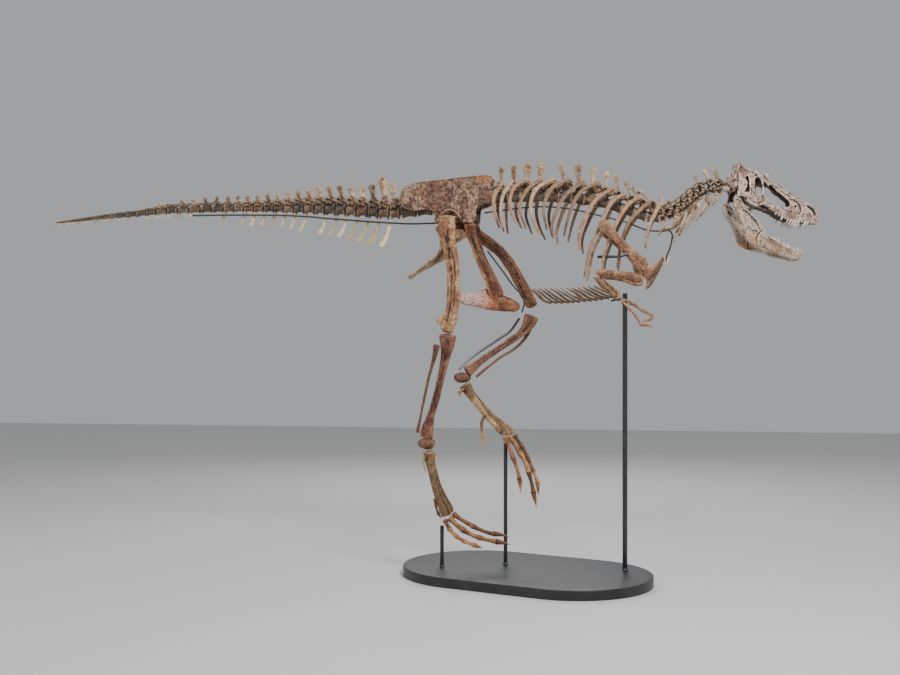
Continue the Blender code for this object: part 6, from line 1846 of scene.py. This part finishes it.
    def trim(self) -> list[np.ndarray]:
        """Crest, braincase, neck joint, wings, cheek bars, brow horns and the ridge of bumps along the nose."""
        grids = [sweep(mm((16, 0, 150, 74, 12), (24, 0, 196, 68, 13), (30, 0, 222, 50, 9)), steps=16, around=36,
                       power=2.8),
                 sweep(mm((8, 0, 95, 34, 58), (80, 0, 98, 32, 62), (150, 0, 112, 28, 54), (186, 0, 132, 18, 36)),
                       steps=24, around=28),
                 sweep(mm((30, 0, 40, 34, 30), (-4, 0, 26, 24, 22), (-26, 0, 18, 22, 21)), steps=12, around=20,
                       dome=0.8),
                 sweep(mm((40, 0, 204, 12, 6), (75, 0, 206, 10, 8), (130, 0, 198, 9, 6)), steps=16, around=14)]
        bumps = np.random.default_rng(5)
        for x in np.arange(0.290, 0.600, 0.015):
            top = float(np.interp(x, self.table[:, 0], self.table[:, 1]))
            size = bumps.uniform(0.005, 0.010)
            y = bumps.uniform(-0.006, 0.006)
            rise = bumps.uniform(0.005, 0.008)
            grids.append(sweep([(x - 0.007, y, top - 0.002, size, rise), (x + 0.007, y, top - 0.005, size, rise)],
                               steps=6, around=12))
        for side in Side:
            s = side.value
            for bar in self.bars:
                grids.append(sweep([(x, s * (self.cheek(x, z) - 0.004), z, half, 0.9 * half) for x, z, half in bar],
                                   hint=(0.3, 0.0, 0.3), steps=12 * len(bar), around=14))
            for rows, form in self.studs:
                grids.append(sweep([(x, s * y, z, wide, deep) for x, y, z, wide, deep in rows], **form))
        return grids

    def build(self) -> None:
        """Bone in one skin with its sutures and nerve pits and painted shade on its inside, then the teeth."""
        stock = Stock(191)
        stock.carve(self.shell(0.0, -0.006, 0.685, 120, 96), self.cutters())
        stock.add(*self.trim(), tone=0.5)
        mesh = stock.fuse("skull_bones", 0.0032, 1)
        sutures = [mm((545, 82), (560, 40), (552, -10), (566, -60)),
                   mm((270, 150), (330, 122), (400, 100), (480, 82), (560, 64)),
                   mm((438, 70), (476, 71), (503, 58), (527, 35), (538, 0), (520, -30)),
                   mm((255, 10), (290, -16), (330, -22)), mm((250, -40), (300, -44)),
                   mm((112, 120), (140, 20), (172, 6)), mm((236, 160), (262, 146), (284, 150)),
                   mm((110, -34), (150, -34), (180, -46)), mm((190, -20), (214, -34))]
        pits = [((x, -0.044 - 0.006 * math.sin(40.0 * x)), (x + 0.003, -0.045)) for x in np.arange(0.37, 0.66, 0.026)]
        pits += [((x, -0.020 + 0.008 * math.sin(23.0 * x)), (x + 0.002, -0.020)) for x in np.arange(0.44, 0.66, 0.031)]
        pits += [((x, 0.088 - 0.22 * (x - 0.47)), (x + 0.004, 0.088 - 0.22 * (x - 0.47)))
                 for x in np.arange(0.38, 0.58, 0.037)]
        rear_edge = [mm((18, 134), (27, 73), (34, 20), (46, -5))]
        fossa = [mm((442, 66), (476, 71), (503, 58), (527, 35), (539, 0)), mm((300, 136), (360, 112), (430, 90))]
        for lines, width, depth in ((sutures, 0.0028, 0.0034), (pits, 0.0028, 0.0046), (fossa, 0.0055, 0.0075),
                                    (rear_edge, 0.0050, 0.0070)):
            score(mesh, lines, width, depth)
        Weathering(0.0014, 0.0018, 0.0008, 0.0036).apply(mesh, 191)
        # Painted shade: inside the skull, ahead of x = 0.03, places more than 8 mm within the cheeks or the roof grow
        # dark over the next 10 mm.
        points = read_points(mesh)
        skin = self.cheek(points[:, 0], points[:, 2])
        roof = np.interp(points[:, 0], self.table[:, 0], self.table[:, 1])
        deep = np.minimum(skin - np.abs(points[:, 1]), roof - points[:, 2])
        write_value(mesh, "dirt", np.clip((deep - 0.008) / 0.010, 0.0, 1.0) * (points[:, 0] > 0.03))
        finish_piece(mesh, "skull_bones", SKULL_LOOK, ["skull"], SKULL_PLACE)
        low = [(row[0], row[2]) for row in self.stations]
        out = [(row[0], row[5]) for row in self.stations]
        stock = Stock(193)
        for side in Side:
            for x, length in self.teeth:
                near = side.value * (float(along(out, x)) - 0.009)
                stock.add(fang(x, near, float(along(low, x)) + 0.006, -length, 0.0086 if length > 0.03 else 0.0064,
                               0.30))
        stock.piece("upper_teeth", TOOTH_LOOK, ["skull"], Weathering(0.0003, 0.0003, 0.0001, 0.0002), place=SKULL_PLACE)


@dataclass
class LowerJaw:
    """The jaw about its hinge, in the same directions as the skull, swung open."""

    # x, top, bottom, distance from the middle plane, half thickness
    stations: Rows = mm((-10, -12, -38, 100, 13), (18, -3, -76, 101, 14), (75, -18, -95, 101, 12),
                        (135, -20, -121, 99, 11), (190, -27, -150, 95, 10), (222, -34, -176, 92, 10),
                        (250, -40, -185, 89, 11), (286, -44, -181, 85, 12), (328, -52, -166, 79, 13),
                        (402, -37, -123, 65, 14), (480, -13, -96, 50, 15), (550, 25, -60, 34, 16),
                        (600, 52, -28, 22, 16), (630, 46, 22, 12, 12))
    pocket: Rows = mm((236, -120), (229, -108), (240, -96), (256, -88), (270, -98), (264, -112), (252, -124))
    teeth: Rows = mm((380, 14), (404, 24), (429, 38), (452, 16), (474, 40), (490, 14), (505, 30), (524, 20), (543, 40),
                     (560, 14), (575, 30), (600, 26))

    def branch(self) -> np.ndarray:
        """Left branch: sections of twelve corners, swelling outward at a third of their height."""
        table = spline(self.stations, TABLE_STEPS)
        x = np.linspace(-0.010, 0.630, 90)
        top, low, apart, half = columns(table, x)
        tall = top - low
        ring = [(0.75, 1.0), (1.05, 0.93), (1.0, 0.62), (1.05, 0.32), (0.9, 0.08), (0.2, 0.0), (-0.5, 0.0),
                (-0.9, 0.10), (-0.8, 0.45), (-0.75, 0.80), (-0.70, 1.0), (0.0, 1.02)]
        corners = np.stack([np.stack([apart + side * half, low + up * tall], axis=-1) for side, up in ring], axis=1)
        flat = np.einsum("mk,rkc->rmc", closed_blend(len(ring), 48), corners)
        return np.stack([np.repeat(x[:, None], 48, axis=1), flat[..., 0], flat[..., 1]], axis=-1)

    def build(self) -> None:
        """Both branches, joined at the chin, with the joint of front and rear bones marked."""
        stock = Stock(195)
        left = self.branch()
        hole = sweep(mm((88, 50, -52, 8, 10), (88, 150, -52, 8, 10)), AHEAD, 4, 16)
        pocket = window(self.pocket, 0.093, 0.16)
        trough = sweep(mm((40, 92, -44, 9, 12), (110, 90, -66, 9, 22), (180, 87, -90, 8, 30), (240, 81, -112, 8, 30),
                          (290, 73, -116, 7, 18)), steps=30, around=20)
        stock.carve(left, [hole, pocket, trough])
        stock.carve(mirror(left), [mirror(hole), mirror(pocket), mirror(trough)])
        stock.add(sweep(mm((570, 0, -20, 30, 30), (600, 0, 8, 26, 28), (618, 0, 30, 14, 14)), steps=16, around=24),
                  tone=0.5)
        shelf = sweep(mm((20, 104, -16, 8, 8), (85, 110, -38, 8, 8), (138, 109, -34, 6, 8), (200, 105, -33, 5, 7),
                         (272, 95, -47, 5, 7)), steps=28, around=14)
        keel = sweep(mm((262, 94, -60, 5, 6), (286, 92, -110, 5, 7), (320, 88, -140, 5, 10), (400, 74, -106, 5, 12),
                        (480, 60, -74, 5, 12)), steps=40, around=14)
        cup = sweep(mm((-12, 100, -20, 20, 12), (16, 100, -12, 22, 12)), steps=8, around=18)
        stock.add_both(shelf, keel, cup, tone=0.5)
        mesh = stock.fuse("jaw_bones", 0.0028, 1)
        joint = mm((286, -42), (278, -79), (281, -116), (297, -140), (328, -168))
        seams = [joint, mm((150, -100), (200, -112), (222, -124)), mm((268, -100), (282, -112)),
                 mm((300, -100), (380, -78), (460, -50)), mm((100, -62), (160, -54), (210, -60))]
        pits = [((x, -0.062 + 0.24 * (x - 0.36)), (x + 0.003, -0.062 + 0.24 * (x - 0.36)))
                for x in np.arange(0.35, 0.60, 0.022)]
        score(mesh, [joint, mm((87, -54), (101, -46), (141, -46), (205, -48), (262, -64))], 0.0040, 0.0060)
        score(mesh, seams, 0.0026, 0.0034)
        score(mesh, pits, 0.0028, 0.0040)
        points = read_points(mesh)
        patch = np.exp(-(((points[:, 0] - 0.285) / 0.048) ** 2 + ((points[:, 2] + 0.158) / 0.026) ** 2))
        write_value(mesh, "warm", patch)
        Weathering(0.0012, 0.0014, 0.0007, 0.0030).apply(mesh, 195)
        finish_piece(mesh, "jaw_bones", JAW_LOOK, ["lower_jaw"], JAW_PLACE)
        stock = Stock(197)
        tops = [(row[0], row[1]) for row in self.stations]
        out = [(row[0], row[3]) for row in self.stations]
        for side in Side:
            for x, length in self.teeth:
                stock.add(fang(x, side.value * float(along(out, x)), float(along(tops, x)) - 0.005, length, 0.0070,
                               0.80))
        stock.piece("lower_teeth", TOOTH_LOOK, ["lower_jaw"],
                    Weathering(0.0003, 0.0003, 0.0001, 0.0002), place=JAW_PLACE)


# ---------------------------------------------------------------- room
@dataclass
class Studio:
    """Pale floor and world, three soft lights and the camera."""

    eye: tuple[float, float, float] = (0.807, -8.576, 1.74)
    turn: float = math.radians(9.0)
    lens: float = 47.6

    def build(self) -> None:
        """Floor, world, lights and camera."""
        mesh = bpy.data.meshes.new("floor")
        mesh.from_pydata([(-14, -14, 0), (14, -14, 0), (14, 14, 0), (-14, 14, 0)], [], [(0, 1, 2, 3)])
        paint = bpy.data.materials.new("floor paint")
        paint.use_nodes = True
        shader = paint.node_tree.nodes["Principled BSDF"]
        shader.inputs["Base Color"].default_value = (0.62, 0.61, 0.60, 1.0)
        shader.inputs["Roughness"].default_value = 0.75
        mesh.materials.append(paint)
        floor = bpy.data.objects.new("floor", mesh)
        bpy.context.scene.collection.objects.link(floor)
        world = bpy.data.worlds.new("room")
        world.use_nodes = True
        world.node_tree.nodes["Background"].inputs["Color"].default_value = (0.80, 0.82, 0.85, 1.0)
        world.node_tree.nodes["Background"].inputs["Strength"].default_value = 0.50
        bpy.context.scene.world = world
        for name, spot, aim, power, size in (("key", (3.0, -5.0, 6.5), (0.2, 0.0, 1.8), 620.0, 2.2),
                                             ("fill", (-6.0, -5.0, 4.0), (-0.5, 0.0, 1.6), 150.0, 4.0),
                                             ("rear", (-1.0, 6.0, 5.5), (0.0, 0.0, 1.8), 220.0, 4.0)):
            lamp = bpy.data.lights.new(name, "AREA")
            lamp.energy, lamp.size = power, size
            thing = bpy.data.objects.new(name, lamp)
            bpy.context.scene.collection.objects.link(thing)
            away = np.array(spot) - np.array(aim)
            axes = basis(-away)
            thing.matrix_world = Matrix.Translation(spot) @ Matrix(
                [list(row) for row in np.array([-axes[1], axes[2], -axes[0]]).T]).to_4x4()
        lens = bpy.data.cameras.new("camera")
        lens.lens, lens.sensor_width = self.lens, CAMERA_SENSOR
        camera = bpy.data.objects.new("camera", lens)
        camera.location = self.eye
        camera.rotation_euler = (math.radians(90.0), 0.0, self.turn)
        bpy.context.scene.collection.objects.link(camera)
        bpy.context.scene.camera = camera


def main() -> None:
    """Build every part in order."""
    logging.basicConfig(level=logging.INFO, format="%(name)s: %(message)s")
    Studio().build()
    OvalBase().build()
    Armature().build()
    Skull().build()
    LowerJaw().build()
    Neck().build()
    back = Back()
    back.build_spine()
    back.build_ribs()
    hips = Hips()
    hips.build_sacrum()
    hips.build_blades()
    hips.build_pubis()
    hips.build_ischium()
    Tail().build()
    RIGHT_LEG.build()
    LEFT_LEG.build()
    for side in Side:
        Arm(side).build()
    Belly().build()


if __name__ == "__main__":
    main()
